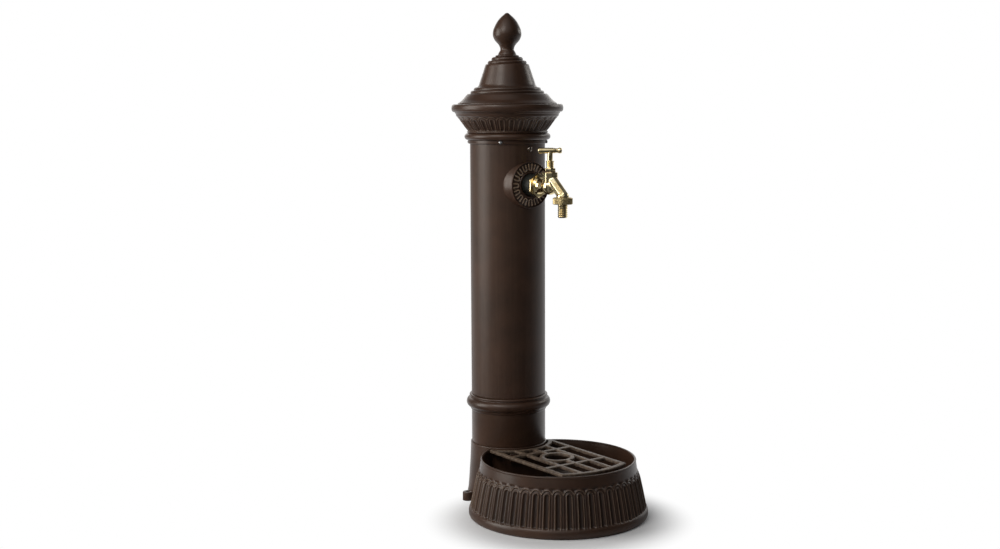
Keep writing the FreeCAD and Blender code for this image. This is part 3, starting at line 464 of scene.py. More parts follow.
def machined_brass():
    """Turned brass left as machined: duller and greyer, with fine rings round the axis."""
    tree, material = start_material("machined_brass")
    if tree is None:
        return material
    # Real turning marks lie about 0.15 mm apart, and are drawn this coarse to show.
    rings = grains(tree, 0.6, 2.0, (8.0, 8.0, 1.0))
    colour = tinted(tree, linear("#BFAF85"), grains(tree, 6.0, 3.0), linear("#98865C"))
    gloss, bumps = surfaced(tree, rings, 0.28, 0.42, rings, 0.02)
    dressed(tree, {"Base Color": colour, "Metallic": 1.0, "Roughness": gloss, "Normal": bumps})
    return material


def metal(name, light, dark, low, high, size, stretch=(1.0, 1.0, 1.0)):
    """A bare metal with a grain: bright or dull by its roughness, shaded between two colours."""
    tree, material = start_material(name)
    if tree is None:
        return material
    # The real grain of plated, brushed or drawn metal is finer, and is drawn this coarse to show.
    lines = grains(tree, size, 3.0, stretch)
    colour = tinted(tree, linear(light), grains(tree, 8.0, 3.0), linear(dark))
    gloss, bumps = surfaced(tree, lines, low, high, lines, 0.01)
    dressed(tree, {"Base Color": colour, "Metallic": 1.0, "Roughness": gloss, "Normal": bumps})
    return material


def moulded(name, light, dark, low, high, size, depth):
    """A moulded or pressed soft material: its own colour with a faint shade and a fine skin."""
    tree, material = start_material(name)
    if tree is None:
        return material
    # The real skin is finer than half a millimetre, and is drawn this coarse to show.
    skin = grains(tree, size, 3.0)
    colour = tinted(tree, linear(light), grains(tree, 7.0, 3.0), linear(dark))
    gloss, bumps = surfaced(tree, skin, low, high, skin, depth)
    dressed(tree, {"Base Color": colour, "Roughness": gloss, "Normal": bumps})
    return material


def zinc_steel():
    # Bright zinc plate: a cold, slightly cloudy shine.
    return metal("zinc_plated_steel", "#A9ABAC", "#85888B", 0.24, 0.38, 1.5)


def blackened_steel():
    # Screw heads blackened brown, with a thin oily shine on the bare steel.
    return metal("blackened_steel", "#9A9088", "#6A605A", 0.20, 0.30, 1.2)


def black_rubber():
    # Moulded nitrile rubber: black with a soft grey sheen.
    return moulded("moulded_black_rubber", "#1A1D19", "#0F110E", 0.5, 0.65, 0.8, 0.02)


# Pieces


class FountainSizes(bpy.types.PropertyGroup):
    """Sizes that a user may change."""
    column_radius: FloatProperty(name="Column radius", description="Radius of the column's tube",
                                 default=(TUBE_HIGH.x - TUBE_LOW.x) / 2, unit="LENGTH", subtype="DISTANCE")
    basin_flutes: IntProperty(name="Basin flutes", description="Arched flutes round the basin", default=48,
                              min=12)
    basin_flute_depth: FloatProperty(name="Basin flute depth",
                                     description="Depth of a flute below its ridges",
                                     default=0.0034, unit="LENGTH", subtype="DISTANCE")
    capital_flutes: IntProperty(name="Capital flutes", description="Arched flutes round the capital",
                                default=30, min=12)
    capital_flute_depth: FloatProperty(name="Capital flute depth", description="Depth of a flute",
                                       default=0.0022, unit="LENGTH", subtype="DISTANCE")
    rosette_motifs: IntProperty(name="Rosette motifs", description="Arched flutes round the rosette",
                                default=16, min=6)
    ridge_width: FloatProperty(name="Ridge width", description="Half width of a ridge beside a flute",
                               default=0.00075, unit="LENGTH", subtype="DISTANCE")
    edge_softness: FloatProperty(name="Edge softness", description="Rounding of the castings' corners",
                                 default=0.0006, unit="LENGTH", subtype="DISTANCE")


class FountainFinish(bpy.types.PropertyGroup):
    """Colours and gloss that a user may change."""
    coat_dark: FloatVectorProperty(name="Coat, dark", description="Darker shade of the brown coat",
                                   default=linear("#38271D")[:3], size=3, subtype="COLOR")
    coat_light: FloatVectorProperty(name="Coat, light", description="Lighter shade of the brown coat",
                                    default=linear("#442F23")[:3], size=3, subtype="COLOR")
    coat_roughness: FloatProperty(name="Coat roughness", description="Gloss of the coat, less is shinier",
                                  default=0.34, min=0.0, max=1.0, subtype="FACTOR")
    brass_light: FloatVectorProperty(name="Brass", description="Bright shade of the polished brass",
                                     default=linear("#F1E4BC")[:3], size=3, subtype="COLOR")
    brass_roughness: FloatProperty(name="Brass roughness", description="Gloss of the brass, less is shinier",
                                   default=0.13, min=0.0, max=1.0, subtype="FACTOR")


class FountainStage(bpy.types.PropertyGroup):
    """Floor, lamps and camera."""
    floor_colour: FloatVectorProperty(name="Floor", description="Colour of the studio floor",
                                      default=linear("#F0F3F8")[:3], size=3, subtype="COLOR")
    key_power: FloatProperty(name="Key lamp", description="Power of the large lamp on the left",
                             default=40.0, unit="POWER")
    high_power: FloatProperty(name="High lamp", description="Power of the lamp high at the front left",
                               default=17.0, unit="POWER")
    rim_power: FloatProperty(name="Rim lamp", description="Power of the small lamp on the right",
                             default=5.0, unit="POWER")
    back_power: FloatProperty(name="Back lamp", description="Power of the wide lamp behind the fountain",
                              default=7.0, unit="POWER")
    room_light: FloatProperty(name="Room light", description="Strength of the even light of the room",
                              default=0.09, min=0.0)
    lens: FloatProperty(name="Lens", description="Focal length", default=50.4, unit="CAMERA")


def fluted(bm, count, half_width, stops, is_face, past_springing, depth_share, painted_shade_share=1.0, centre=0.0):
    """Presses arched flutes into a turned surface. Each mesh column is first moved to its place across its
    flute. past_springing gives how far a height lies past the start of the arch, and depth_share how much
    of the flute's depth is left there."""
    ridge = bm.verts.layers.float.new("ridge")
    painted_hollow_shade = bm.verts.layers.float.new("painted_hollow_shade")
    deepest = stops[0][1]
    for v in bm.verts:
        radius = math.hypot(v.co.x, v.co.y)
        if radius < 1e-3:
            continue
        angle, share = flute_place(math.atan2(v.co.x, -v.co.y), count, centre)
        v.co.x, v.co.y = radius * math.sin(angle), -radius * math.cos(angle)
        if not is_face(radius, v.co.z):
            continue
        past = past_springing(v.co.z)
        across = share * half_width
        distance = math.hypot(across, past) if past > 0 else across
        fade = depth_share(v.co.z)
        drop = at_stops(stops, distance) * fade
        v.co.x *= 1 - drop / radius
        v.co.y *= 1 - drop / radius
        # Painted light: a painted highlight on the ridges and painted shade deep in the flutes, as masks for
        # the coat's colour.
        v[ridge] = max(0.0, 1 - drop / HIGHLIGHT_DROP) * fade if distance < half_width + HIGHLIGHT_REACH else 0.0
        v[painted_hollow_shade] = painted_shade_share * min(1.0, max(0.0, drop / deepest - PAINTED_SHADE_START) * PAINTED_SHADE_GROWTH)


# Height and radius of the ridges on the basin's side, the heights between which its flutes lie, and the
# height at which the side ends.
BASIN_CREST = [(14.5, 138.8), (15.3, 138.0), (16.2, 137.7), (28.0, 135.4), (40.0, 132.9), (50.0, 130.8),
               (59.0, 128.6), (64.0, 127.2), (68.5, 125.5), (70.5, 124.8), (71.8, 124.3)]
BASIN_FLUTE_FOOT = 14.6
BASIN_FLUTE_TOP = 70.6
BASIN_SIDE_TOP = 72.0
# Mean radius of the basin's side, on which the width of its flutes is measured.
BASIN_MEAN_RADIUS = 131.0


def basin_shell(sizes):
    """The basin: round foot, fluted side, smooth band, thin rolled rim, and the bowl inside."""
    soft = sizes.edge_softness / MM
    foot = traced([(131.8, 0.0), (136.8, 0.0), ((139.3, 1.6), (140.4, 5.5)), ((140.1, 10.5), (138.8, 14.4))])
    heights = [15.3, 16.2, 17.5, 24.0, 34.0, 44.0, 54.0, 59.5] + [60.9 + 0.8 * k for k in range(14)]
    side = [(at_stops(BASIN_CREST, z), z) for z in heights]
    band = traced([(123.25, 72.6), (122.9, 75.0), (122.2, 80.0), (121.4, 85.0), (121.0, 87.5),
                   ((119.5, 90.5), (118.0, 88.0)), (116.5, 80.0), (114.0, 44.0),
                   ((110.5, 35.5), (102.0, 32.0)), (70.0, 32.0), (40.0, 31.7), (17.8, 31.6), (17.8, 28.0),
                   (70.0, 28.0), (102.0, 28.0), ((113.5, 32.5), (118.2, 44.0)), (119.8, 64.0),
                   (121.6, 64.0), (123.2, 58.0), (127.4, 40.0), (132.6, 15.0)], soft)
    bm = spun(foot + side + band, sizes.basin_flutes * COLUMNS_PER_FLUTE)
    half = math.pi * BASIN_MEAN_RADIUS / sizes.basin_flutes
    stops = arched_flute(half, sizes.ridge_width / MM, sizes.basin_flute_depth / MM,
                         shallow=1.9, plain=2.3, flank=2.2)

    def is_side(radius, z):
        return BASIN_FLUTE_FOOT < z < BASIN_SIDE_TOP and radius > at_stops(BASIN_CREST, z) - 1.0

    def past_springing(z):
        return z - (BASIN_FLUTE_TOP - half)

    def depth_share(z):
        return min(1.0, max(0.0, (z - BASIN_FLUTE_FOOT) / 1.6))

    fluted(bm, sizes.basin_flutes, half, stops, is_side, past_springing, depth_share)
    bmesh.ops.recalc_face_normals(bm, faces=bm.faces)
    bmesh.ops.transform(bm, matrix=Matrix.Translation((0, BASIN_Y, 0)), verts=bm.verts)
    return bm


# The round end of a lug, its root as seen from the hole, its height, and where its hole is: how far from
# the column's axis, and turned how far from the front.
LUG_RADIUS = 8.5
LUG_ROOT = -16.0
LUG_HEIGHT = 14.0
LUG_REACH = 73.0
LUG_ANGLE = math.radians(101.0)


def lug(side):
    """A flat ear with a hole, rounded at its end."""
    bm = bmesh.new()
    turns = [math.pi - math.pi * k / 16 for k in range(17)]
    rim = [(LUG_RADIUS * math.cos(a), LUG_RADIUS * math.sin(a)) for a in turns]
    rim = [(-LUG_RADIUS, LUG_ROOT)] + rim + [(LUG_RADIUS, LUG_ROOT)]
    face = bm.faces.new([bm.verts.new((x, y, 0.0)) for x, y in rim])
    top = bmesh.ops.extrude_face_region(bm, geom=[face])["geom"]
    raised = [v for v in top if isinstance(v, bmesh.types.BMVert)]
    bmesh.ops.translate(bm, vec=(0, 0, LUG_HEIGHT), verts=raised)
    bmesh.ops.recalc_face_normals(bm, faces=bm.faces)
    upper = [e for e in bm.edges if all(v.co.z > LUG_HEIGHT - 1.0 for v in e.verts)]
    bevelled(bm, upper, 1.4, 3)
    bmesh.ops.translate(bm, vec=(0, LUG_REACH, 0), verts=bm.verts)
    turn = Matrix.Rotation(math.pi + side * LUG_ANGLE, 4, "Z")
    bmesh.ops.transform(bm, matrix=turn, verts=bm.verts)
    centre = turn @ Vector((0, LUG_REACH, 0))
    hole = spun([(0, -2.0), (3.5, -2.0), (3.5, 12.8), (4.4, 15.0), (0, 15.0)], 32, centre)
    return cut(bm, hole)


# The height of a ledge from its underside, and the height of its middle over the ground.
LEDGE_HEIGHT = 13.9
LEDGE_MIDDLE_Z = 78.95


def ledge(side, front):
    """A block that the grate rests on, at the front wall or beside the column."""
    bm = bmesh.new()
    bmesh.ops.create_cube(bm, size=1.0)
    width, depth, x, y = (14.0, 19.0, side * 47.0, -231.5) if front else (15.5, 14.0, 0, -64.0)
    bmesh.ops.scale(bm, vec=(width, depth, LEDGE_HEIGHT), verts=bm.verts)
    bevelled(bm, bm.edges, 0.6)
    bmesh.ops.translate(bm, vec=(x, y, LEDGE_MIDDLE_Z), verts=bm.verts)
    if not front:
        turn = Matrix.Rotation(side * math.radians(27.0), 3, "Z")
        bmesh.ops.rotate(bm, matrix=turn, verts=bm.verts)
    return bm


class FOUNTAIN_OT_base(bpy.types.Operator):
    """Builds the casting of basin, pedestal and ground lugs"""
    bl_idname = "fountain.base"
    bl_label = "Base casting"

    def execute(self, context):
        sizes = context.scene.fountain_sizes
        soft = sizes.edge_softness / MM
        r = sizes.column_radius / MM
        shell = cut(basin_shell(sizes), drill(r - 1.5, -5.0, 120.0, steps=MIDDLE_STEPS))
        pedestal = traced([(0, 84.0), (r - 9.3, 84.0), (r - 4.3, 78.0), (r + 1.0, 0.0), (r + 7.4, 0),
                           (r + 7.4, 10.0), (r + 6.2, 16.0),
                           [(r + 5.0, 31.0), (r + 4.0, 46.0), (r + 3.0, 61.0), (r + 2.2, 77.0),
                            (r + 1.7, 92.0)],
                           (r + 1.1, 92.7), (0, 92.7)], soft)
        extras = [lug(-1), lug(1)] + [ledge(side, front) for side in (-1, 1) for front in (False, True)]
        body = joined(cut(spun(pedestal, ROUND_STEPS), drill(9.0, 80.0, 95.0, PIPE_Y)), merged(*extras))
        piece(joined(shell, body), "base_casting_fluted", powder_coat(False), "stand", "painted_casting",
              "base_casting", sharp=RELIEF_ANGLE)
        return {"FINISHED"}


class FOUNTAIN_OT_grate(bpy.types.Operator):
    """Builds the lift-out grate with rounded bars"""
    bl_idname = "fountain.grate"
    bl_label = "Grate"

    def execute(self, context):
        piece(from_node("grate", 1.2), "grate_bars", pale_grate_coat(), "grille", "painted_casting", "grate",
              placed=True)
        return {"FINISHED"}


class FOUNTAIN_OT_column(bpy.types.Operator):
    """Builds the lower collar with its bead and the long tube"""
    bl_idname = "fountain.column"
    bl_label = "Column"

    def execute(self, context):
        sizes = context.scene.fountain_sizes
        r = sizes.column_radius / MM
        collar = traced([(38.0, 92.7), (r - 0.6, 92.7), (r, 93.4), (r, 145.5), (r + 1.5, 147.0),
                         (r + 2.5, 150.5), ((r + 8.2, 159.0), (r + 2.5, 166.5)), (r + 2.0, 167.5),
                         ((r + 3.6, 169.5), (r + 2.0, 171.5)), (r + 0.5, 172.0), (r - 3.05, 172.0),
                         (r - 3.05, 200.0), (52.5, 200.0), (52.5, 104.7), (38.0, 104.7)], 0.35)
        piece(spun(collar, ROUND_STEPS), "column_collar_turned", powder_coat(False), "stand",
              "painted_casting", "column_collar")
        tube = traced([(r - 3.0, 172.3), (r - 0.4, 172.3), (r, 172.7), (r, 280.0), (r, 390.0), (r, 500.0),
                       (r, 612.0), (r - 3.0, 612.0)])
        piece(spun(tube, ROUND_STEPS), "column_tube_drawn", powder_coat(True), "stand", "painted_tube",
              "column_tube")
        return {"FINISHED"}


# Heights between which the capital's flutes lie, and where the arches over them start.
CAPITAL_FLUTE_FOOT = 597.5
CAPITAL_FLUTE_TOP = 620.4
CAPITAL_SPRINGING = 613.2
# Mean radius of the capital's flare, and how much longer its slope is than its height.
CAPITAL_MEAN_RADIUS = 72.0
CAPITAL_SLOPE = 1.38


def capital_body(sizes):
    """The fluted ring with its two round mouldings."""
    r = sizes.column_radius / MM
    flare = [(63.4, 597.6), (66.7, 601.5), (70.0, 606.0), (73.6, 611.0), (77.5, 616.0), (81.7, 620.6)]
    curve = [flare[0]] + smooth_points(flare, 8)
    crest = [(z, radius) for radius, z in curve]
    heights = [597.6, 598.1, 599.2, 601.5, 604.0, 606.5, 609.0] + [610.5 + 0.62 * k for k in range(16)]
    side = [(at_stops(crest, z), z) for z in heights]
    lower = traced([(r + 0.3, 577.0), (62.2, 577.0), (62.8, 577.7), (62.8, 582.5), (62.4, 583.0),
                    ((68.8, 588.3), (62.4, 593.6)), (62.8, 594.3), ((64.9, 595.6), (63.4, 597.0))], 0.3)
    upper = traced([(81.7, 620.6), (82.4, 624.2), (83.6, 625.2), (84.4, 626.9),
                    [(87.6, 627.9), (88.9, 630.2), (89.3, 633.3), (88.9, 636.4), (87.6, 638.7),
                     (84.4, 639.5)],
                    (74.3, 639.5), (74.3, 628.0), (70.0, 624.0), (56.5, 616.0), (56.5, 612.0),
                    (r + 0.3, 612.0)], 0.3)
    bm = spun(lower + side + upper, sizes.capital_flutes * COLUMNS_PER_FLUTE)
    half = math.pi * CAPITAL_MEAN_RADIUS / sizes.capital_flutes
    stops = arched_flute(half, sizes.ridge_width / MM, sizes.capital_flute_depth / MM,
                         shallow=1.3, plain=1.2, flank=1.2)

    def is_side(radius, z):
        return CAPITAL_FLUTE_FOOT < z < CAPITAL_FLUTE_TOP - 0.1 and radius > at_stops(crest, z) - 0.5

    def past_springing(z):
        return (z - CAPITAL_SPRINGING) * CAPITAL_SLOPE

    def depth_share(z):
        return min(1.0, max(0.3, z - CAPITAL_FLUTE_FOOT)) * min(1.0, max(0.0, (CAPITAL_FLUTE_TOP - z) / 1.2))

    # The capital's flutes get less painted shade.
    fluted(bm, sizes.capital_flutes, half, stops, is_side, past_springing, depth_share, painted_shade_share=0.4,
           centre=math.pi / sizes.capital_flutes)
    bmesh.ops.recalc_face_normals(bm, faces=bm.faces)
    return bm


class FOUNTAIN_OT_head(bpy.types.Operator):
    """Builds the fluted capital, the stepped roof and the bud on top"""
    bl_idname = "fountain.head"
    bl_label = "Capital, roof and finial"

    def execute(self, context):
        sizes = context.scene.fountain_sizes
        coat = powder_coat(False)
        piece(capital_body(sizes), "capital_fluted", coat, "stand", "painted_casting", "capital",
              sharp=RELIEF_ANGLE)
        roof = traced([(4.3, 704.0), (25.0, 704.0), (30.5, 697.0), (40.0, 668.5), (46.0, 662.5),
                       (54.0, 652.0), (66.0, 644.0), (70.0, 634.0), (74.0, 634.0), (74.0, 639.5),
                       (79.2, 639.5), (79.0, 641.0), [(73.1, 645.0), (68.9, 649.5), (65.3, 653.8)],
                       (63.2, 655.6), (58.6, 656.2), ((58.7, 658.6), (56.6, 660.8)), (53.4, 661.2),
                       ((53.4, 663.6), (51.2, 665.8)), (47.6, 666.4), [(45.4, 669.4), (44.2, 673.0)],
                       (36.3, 696.5), [(34.8, 701.0), (33.6, 702.4)], (30.6, 702.8),
                       ((31.0, 705.4), (28.8, 707.8)), (24.6, 708.2), ((25.0, 710.8), (22.6, 713.5)),
                       (4.3, 713.5)], 0.4)
        piece(spun(roof, ROUND_STEPS), "roof_stepped", coat, "stand", "painted_casting", "roof")
        bud = traced([(4.0, 713.6), (18.0, 713.6), ((18.9, 714.9), (18.0, 716.2)), (15.6, 716.8),
                      (14.6, 717.6), (14.2, 719.0),
                      [(12.6, 722.0), (10.9, 725.2), (11.8, 729.8), (14.3, 734.0), (18.9, 739.0),
                       (21.6, 744.0), (22.8, 748.6), (22.4, 754.0), (20.8, 759.4), (17.0, 767.0),
                       (13.4, 772.2), (9.0, 776.8)],
                      [(6.0, 779.3), (3.6, 781.4), (2.0, 782.6)], (0, 783.0), (0, 735.0), (4.0, 735.0)], 0.3)
        piece(spun(bud, ROUND_STEPS // 2), "finial_bud", coat, "stand", "painted_casting", "finial")
        return {"FINISHED"}


# Radii between which the rosette's flutes lie, where their arches start, and where their width is measured.
ROSETTE_LOW_RADIUS, ROSETTE_HIGH_RADIUS = 21.9, 33.6
ROSETTE_SPRINGING = 25.6
ROSETTE_MEAN_RADIUS = 28.5
ROSETTE_FACE_Z = 62.6
ROSETTE_DEPTH = 2.5
# How far below its ridges the painted highlight ends and painted shade begins, and the most painted shade in
# a flute.
ROSETTE_HIGHLIGHT_DROP = 0.8
ROSETTE_PAINTED_SHADE = 0.35


def rosette_disc(count):
    """The round boss lying on its back, with arched flutes pressed into its face."""
    rows = [(33.7 - 0.45 * k, ROSETTE_FACE_Z) for k in range(1, 27)]
    rim = traced([(17.5, 45.0), (40.2, 45.0), (39.6, 50.0), (38.0, 56.0), (37.2, 58.0), (36.6, 62.2),
                  ((35.8, 63.1), (35.0, 62.3)), (34.8, 60.4), (34.0, 60.4), (33.8, 62.4)], 0.2)
    hub = traced([(21.6, 61.2), (21.2, 62.0), (20.4, 63.0), (18.5, 63.0), (17.5, 62.2)], 0.25)
    bm = spun(rim + rows + hub, count * COLUMNS_PER_FLUTE)
    half = math.pi * ROSETTE_MEAN_RADIUS / count
    inner, deep = half / 2, ROSETTE_DEPTH
    stops = [(0, deep), (0.5 * inner, 0.85 * deep), (inner - 1.1, 0.35 * deep), (inner - 0.5, 0.05),
             (inner + 0.5, 0.05), (inner + 1.1, 0.35 * deep), (half - 0.4, 1.6), (half + 20.0, 1.4)]
    ridge = bm.verts.layers.float.new("ridge")
    painted_hollow_shade = bm.verts.layers.float.new("painted_hollow_shade")
    for v in bm.verts:
        radius = math.hypot(v.co.x, v.co.y)
        angle, share = flute_place(math.atan2(v.co.x, -v.co.y), count)
        v.co.x, v.co.y = radius * math.sin(angle), -radius * math.cos(angle)
        if v.co.z < ROSETTE_FACE_Z - 0.1 or not ROSETTE_LOW_RADIUS < radius < ROSETTE_HIGH_RADIUS:
            continue
        across, past = share * math.pi * radius / count, ROSETTE_SPRINGING - radius
        level = across * ROSETTE_MEAN_RADIUS / max(radius, ROSETTE_MEAN_RADIUS)
        drop = at_stops(stops, math.hypot(across, past) if past > 0 else level)
        v.co.z -= drop
        # Painted light: a painted highlight on the ridges, and painted shade on the face below them.
        v[ridge] = 2.0 * max(0.0, 1 - drop / ROSETTE_HIGHLIGHT_DROP)
        v[painted_hollow_shade] = min(ROSETTE_PAINTED_SHADE, max(0.0, drop - ROSETTE_HIGHLIGHT_DROP))
    return bm


class FOUNTAIN_OT_rosette(bpy.types.Operator):
    """Builds the ornamented disc behind the tap and the rubber sleeve in it"""
    bl_idname = "fountain.rosette"
    bl_label = "Rosette"

    def execute(self, context):
        disc = rosette_disc(context.scene.fountain_sizes.rosette_motifs)
        upright = Matrix.Translation((0, 0, TAP_Z)) @ Matrix.Rotation(math.pi / 2, 4, "X")
        bmesh.ops.transform(disc, matrix=upright, verts=disc.verts)
        bmesh.ops.recalc_face_normals(disc, faces=disc.faces)
        sleeve = spun(traced([(10.6, 52.0), (16.8, 52.0), (16.8, 79.2), (16.0, 80.0), (10.6, 80.0)], 0.3),
                      MIDDLE_STEPS, (0, 0, TAP_Z), TO_FRONT)
        # Both are cut to the column, whose round seat is 60 mm in radius.
        disc, sleeve = [cut(bm, drill(60.0, 400.0, 600.0, steps=ROUND_STEPS)) for bm in (disc, sleeve)]
        piece(disc, "tap_rosette_disc", powder_coat(False), "stand", "painted_casting", "tap_rosette",
              sharp=RELIEF_ANGLE)
        piece(sleeve, "tap_bush_sleeve", black_rubber(), "stand", "black_rubber", "tap_bush")
        return {"FINISHED"}


# How steeply the spout falls towards the outlet, and how its parts run together: a skin of small cells
# that is softened a few times.
SPOUT_FALL = math.tan(math.radians(40.0))
CAST_CELL = 0.42
CAST_SOFTENINGS = 5


def spout_point(y):
    """A point on the sloping axis of the spout."""
    return Vector((0, y, 500.3 + (y - OUTLET_Y) * SPOUT_FALL))


def tap_hexagon():
    """The hexagon that is turned at the column, its corners cut back by a cone."""
    hexagon = prism(6, 33.5, (0, -80.05, TAP_Z), (0, -85.0, TAP_Z), math.radians(30))
    cone = spun([(0, 79.0), (18.2, 79.0), (19.3, 80.4), (19.3, 83.2), (16.6, 85.6), (0, 85.6)], MIDDLE_STEPS,
                (0, 0, TAP_Z), TO_FRONT)
    hexagon = common(hexagon, cone)
    bevelled(hexagon, [e for e in hexagon.edges if e.calc_face_angle(0.0) > math.radians(20)], 0.35)
    return hexagon


def tap_casting():
    """Neck, globe, bonnet seat, spout and outlet in one casting with soft corners, and in it the chamber in
    which the jumper rises."""
    neck = spun([(0, 84.0), (14.2, 84.0), (13.2, 86.2), (10.8, 89.5), (9.8, 94.0), (9.6, 100.0), (9.6, 112.0),
                 (0, 112.0)], BODY_STEPS, (0, 0, TAP_Z), TO_FRONT)
    globe = bmesh.new()
    bmesh.ops.create_uvsphere(globe, u_segments=64, v_segments=40, radius=13.2,
                              matrix=Matrix.Translation((0, SPINDLE_Y, TAP_Z)))
    turned = math.radians(22.5)
    upper = prism(8, 23.5, (0, SPINDLE_Y, TAP_Z + 6.0), (0, SPINDLE_Y, 535.0), turned)
    spout = cut(prism(8, 16.4, spout_point(-112.0), spout_point(-148.0), turned),
                drill(30.0, 486.0, 497.2, OUTLET_Y))
    outlet = spun([(0, 496.6), (9.4, 496.6), (9.8, 498.5), (9.2, 501.5), (7.5, 503.5), (0, 504.5)],
                  BODY_STEPS, (0, OUTLET_Y, 0))
    body = modified(merged(neck, globe, upper, spout, outlet), "REMESH", mode="VOXEL", voxel_size=CAST_CELL)
    for _ in range(CAST_SOFTENINGS):
        bmesh.ops.smooth_vert(body, verts=body.verts, factor=0.5, use_axis_x=True, use_axis_y=True,
                              use_axis_z=True)
    chamber = spun([(0, TAP_Z - 9.0), (8.8, TAP_Z - 9.0), (8.8, 525.0), (7.0, 527.0), (7.0, 540.0),
                    (0, 540.0)], BODY_STEPS, (0, SPINDLE_Y, 0))
    return cut(body, chamber)


def bonnet_body():
    """The bonnet's hexagon on its barrel."""
    nut = cut(prism(6, 15.5, (0, SPINDLE_Y, 536.0), (0, SPINDLE_Y, 541.0), math.radians(30), 0.35),
              drill(4.0, 530.0, 545.0, SPINDLE_Y))
    barrel = spun(traced([(4.0, 529.0), (7.0, 529.0), (7.0, 536.1), (4.0, 536.1)], 0.2), DRILL_STEPS,
                  (0, SPINDLE_Y, 0))
    return merged(nut, barrel)


def gland_body():
    """The gland nut with its five rounded ribs."""
    ribs = []
    for z in [541.9 + 1.75 * k for k in range(5)]:
        ribs += [((5.95, z + 0.45), (5.7, z + 0.9)), (5.2, z + 1.3), (5.7, z + 1.75)]
    gland = traced([(4.9, 541.1), (5.7, 541.1)] + ribs
                   + [(6.2, 551.0), (6.5, 551.4), (6.4, 552.2), (6.0, 552.4), (3.05, 552.4), (3.05, 549.0),
                      (4.9, 549.0)], 0.08)
    return spun(gland, SMALL_STEPS, (0, SPINDLE_Y, 0))


class FOUNTAIN_OT_tap(bpy.types.Operator):
    """Builds the cast tap with its hexagon, threads, bonnet and gland nut"""
    bl_idname = "fountain.tap"
    bl_label = "Tap"

    def execute(self, context):
        brass = polished_brass()
        piece(tap_hexagon(), "tap_hexagon", brass, "stand", "brass_polished")
        piece(tap_casting(), "tap_body_cast", brass, "stand", "brass_polished", "tap_body")
        front = traced([(4.5, 494.0), (13.0, 494.0), (13.2, 494.4), (13.2, 497.2), (12.6, 497.7),
                        (4.5, 497.7)], 0.1)
        piece(spun(front, SMALL_STEPS, (0, OUTLET_Y, 0)), "tap_outlet_thread", machined_brass(), "stand",
              "brass_plain")
        back = [(9.8, 44.0), (10.4, 44.0), (10.4, 80.0), (9.8, 80.0)]
        piece(spun(back, SMALL_STEPS, (0, 0, TAP_Z), TO_FRONT), "tap_back_thread", machined_brass(), "stand",
              "brass_plain")
        piece(bonnet_body(), "bonnet_nut", brass, "stand", "brass_polished", "bonnet")
        piece(gland_body(), "gland_nut_ribbed", brass, "stand", "brass_polished", "gland_nut")
        return {"FINISHED"}


# The cross bar's radius, half its length, its turn from straight across, and how far from its end the
# groove lies.
BAR_RADIUS = 4.4
BAR_HALF_LENGTH = 18.2
BAR_TURN = math.radians(-35.0)
BAR_GROOVE = 13.2


class FOUNTAIN_OT_handle(bpy.types.Operator):
    """Builds the spindle and the cross bar that turn and rise together"""
    bl_idname = "fountain.handle"
    bl_label = "Handle"

    def execute(self, context):
        brass = polished_brass()
        stem = traced([(1.85, 516.6), (3.9, 516.6), (3.9, 539.0), (3.0, 540.0), (3.0, 552.7), (4.1, 552.9),
                       (4.1, 566.0), (0, 566.0), (0, 524.6), (1.85, 524.6)], 0.15)
        piece(spun(stem, SMALL_STEPS, (0, SPINDLE_Y, 0)), "spindle_stem", brass, "handle", "brass_polished",
              "spindle")
        r, end = BAR_RADIUS, 2 * BAR_HALF_LENGTH
        groove = end - BAR_GROOVE
        bar = traced([(0, 0), (r - 0.5, 0), (r, 0.5), (r, groove), (r - 0.9, groove + 0.4),
                      (r - 0.9, groove + 1.1), (r - 0.1, groove + 1.6),
                      ((r - 0.9, groove + 5.0), (r - 0.2, end - 4.6)),
                      ((r + 0.1, end - 2.6), (r - 0.4, end - 0.6)), (r - 1.2, end), (0, end)], 0.12)
        boss = spun(traced([(0, 563.2), (3.6, 563.2), (3.6, HANDLE_Z), (0, HANDLE_Z)], 0.2), DRILL_STEPS,
                    (0, SPINDLE_Y, 0))
        along = Vector((math.cos(BAR_TURN), math.sin(BAR_TURN), 0))
        handle = spun(bar, SMALL_STEPS, Vector((0, SPINDLE_Y, HANDLE_Z)) - BAR_HALF_LENGTH * along, along)
        piece(joined(handle, boss), "handle_cross_bar", brass, "handle", "brass_polished", "handle_bar")
        return {"FINISHED"}


# The knurl's teeth and their depth, and the radius from which the nut's skin has them.
KNURL_TEETH = 48
KNURL_DEPTH = 0.45
KNURL_FROM = 14.9
# The lower end of the hose tail, and the distance between its barbs.
TAIL_BOTTOM = 466.4
BARB_PITCH = 3.2


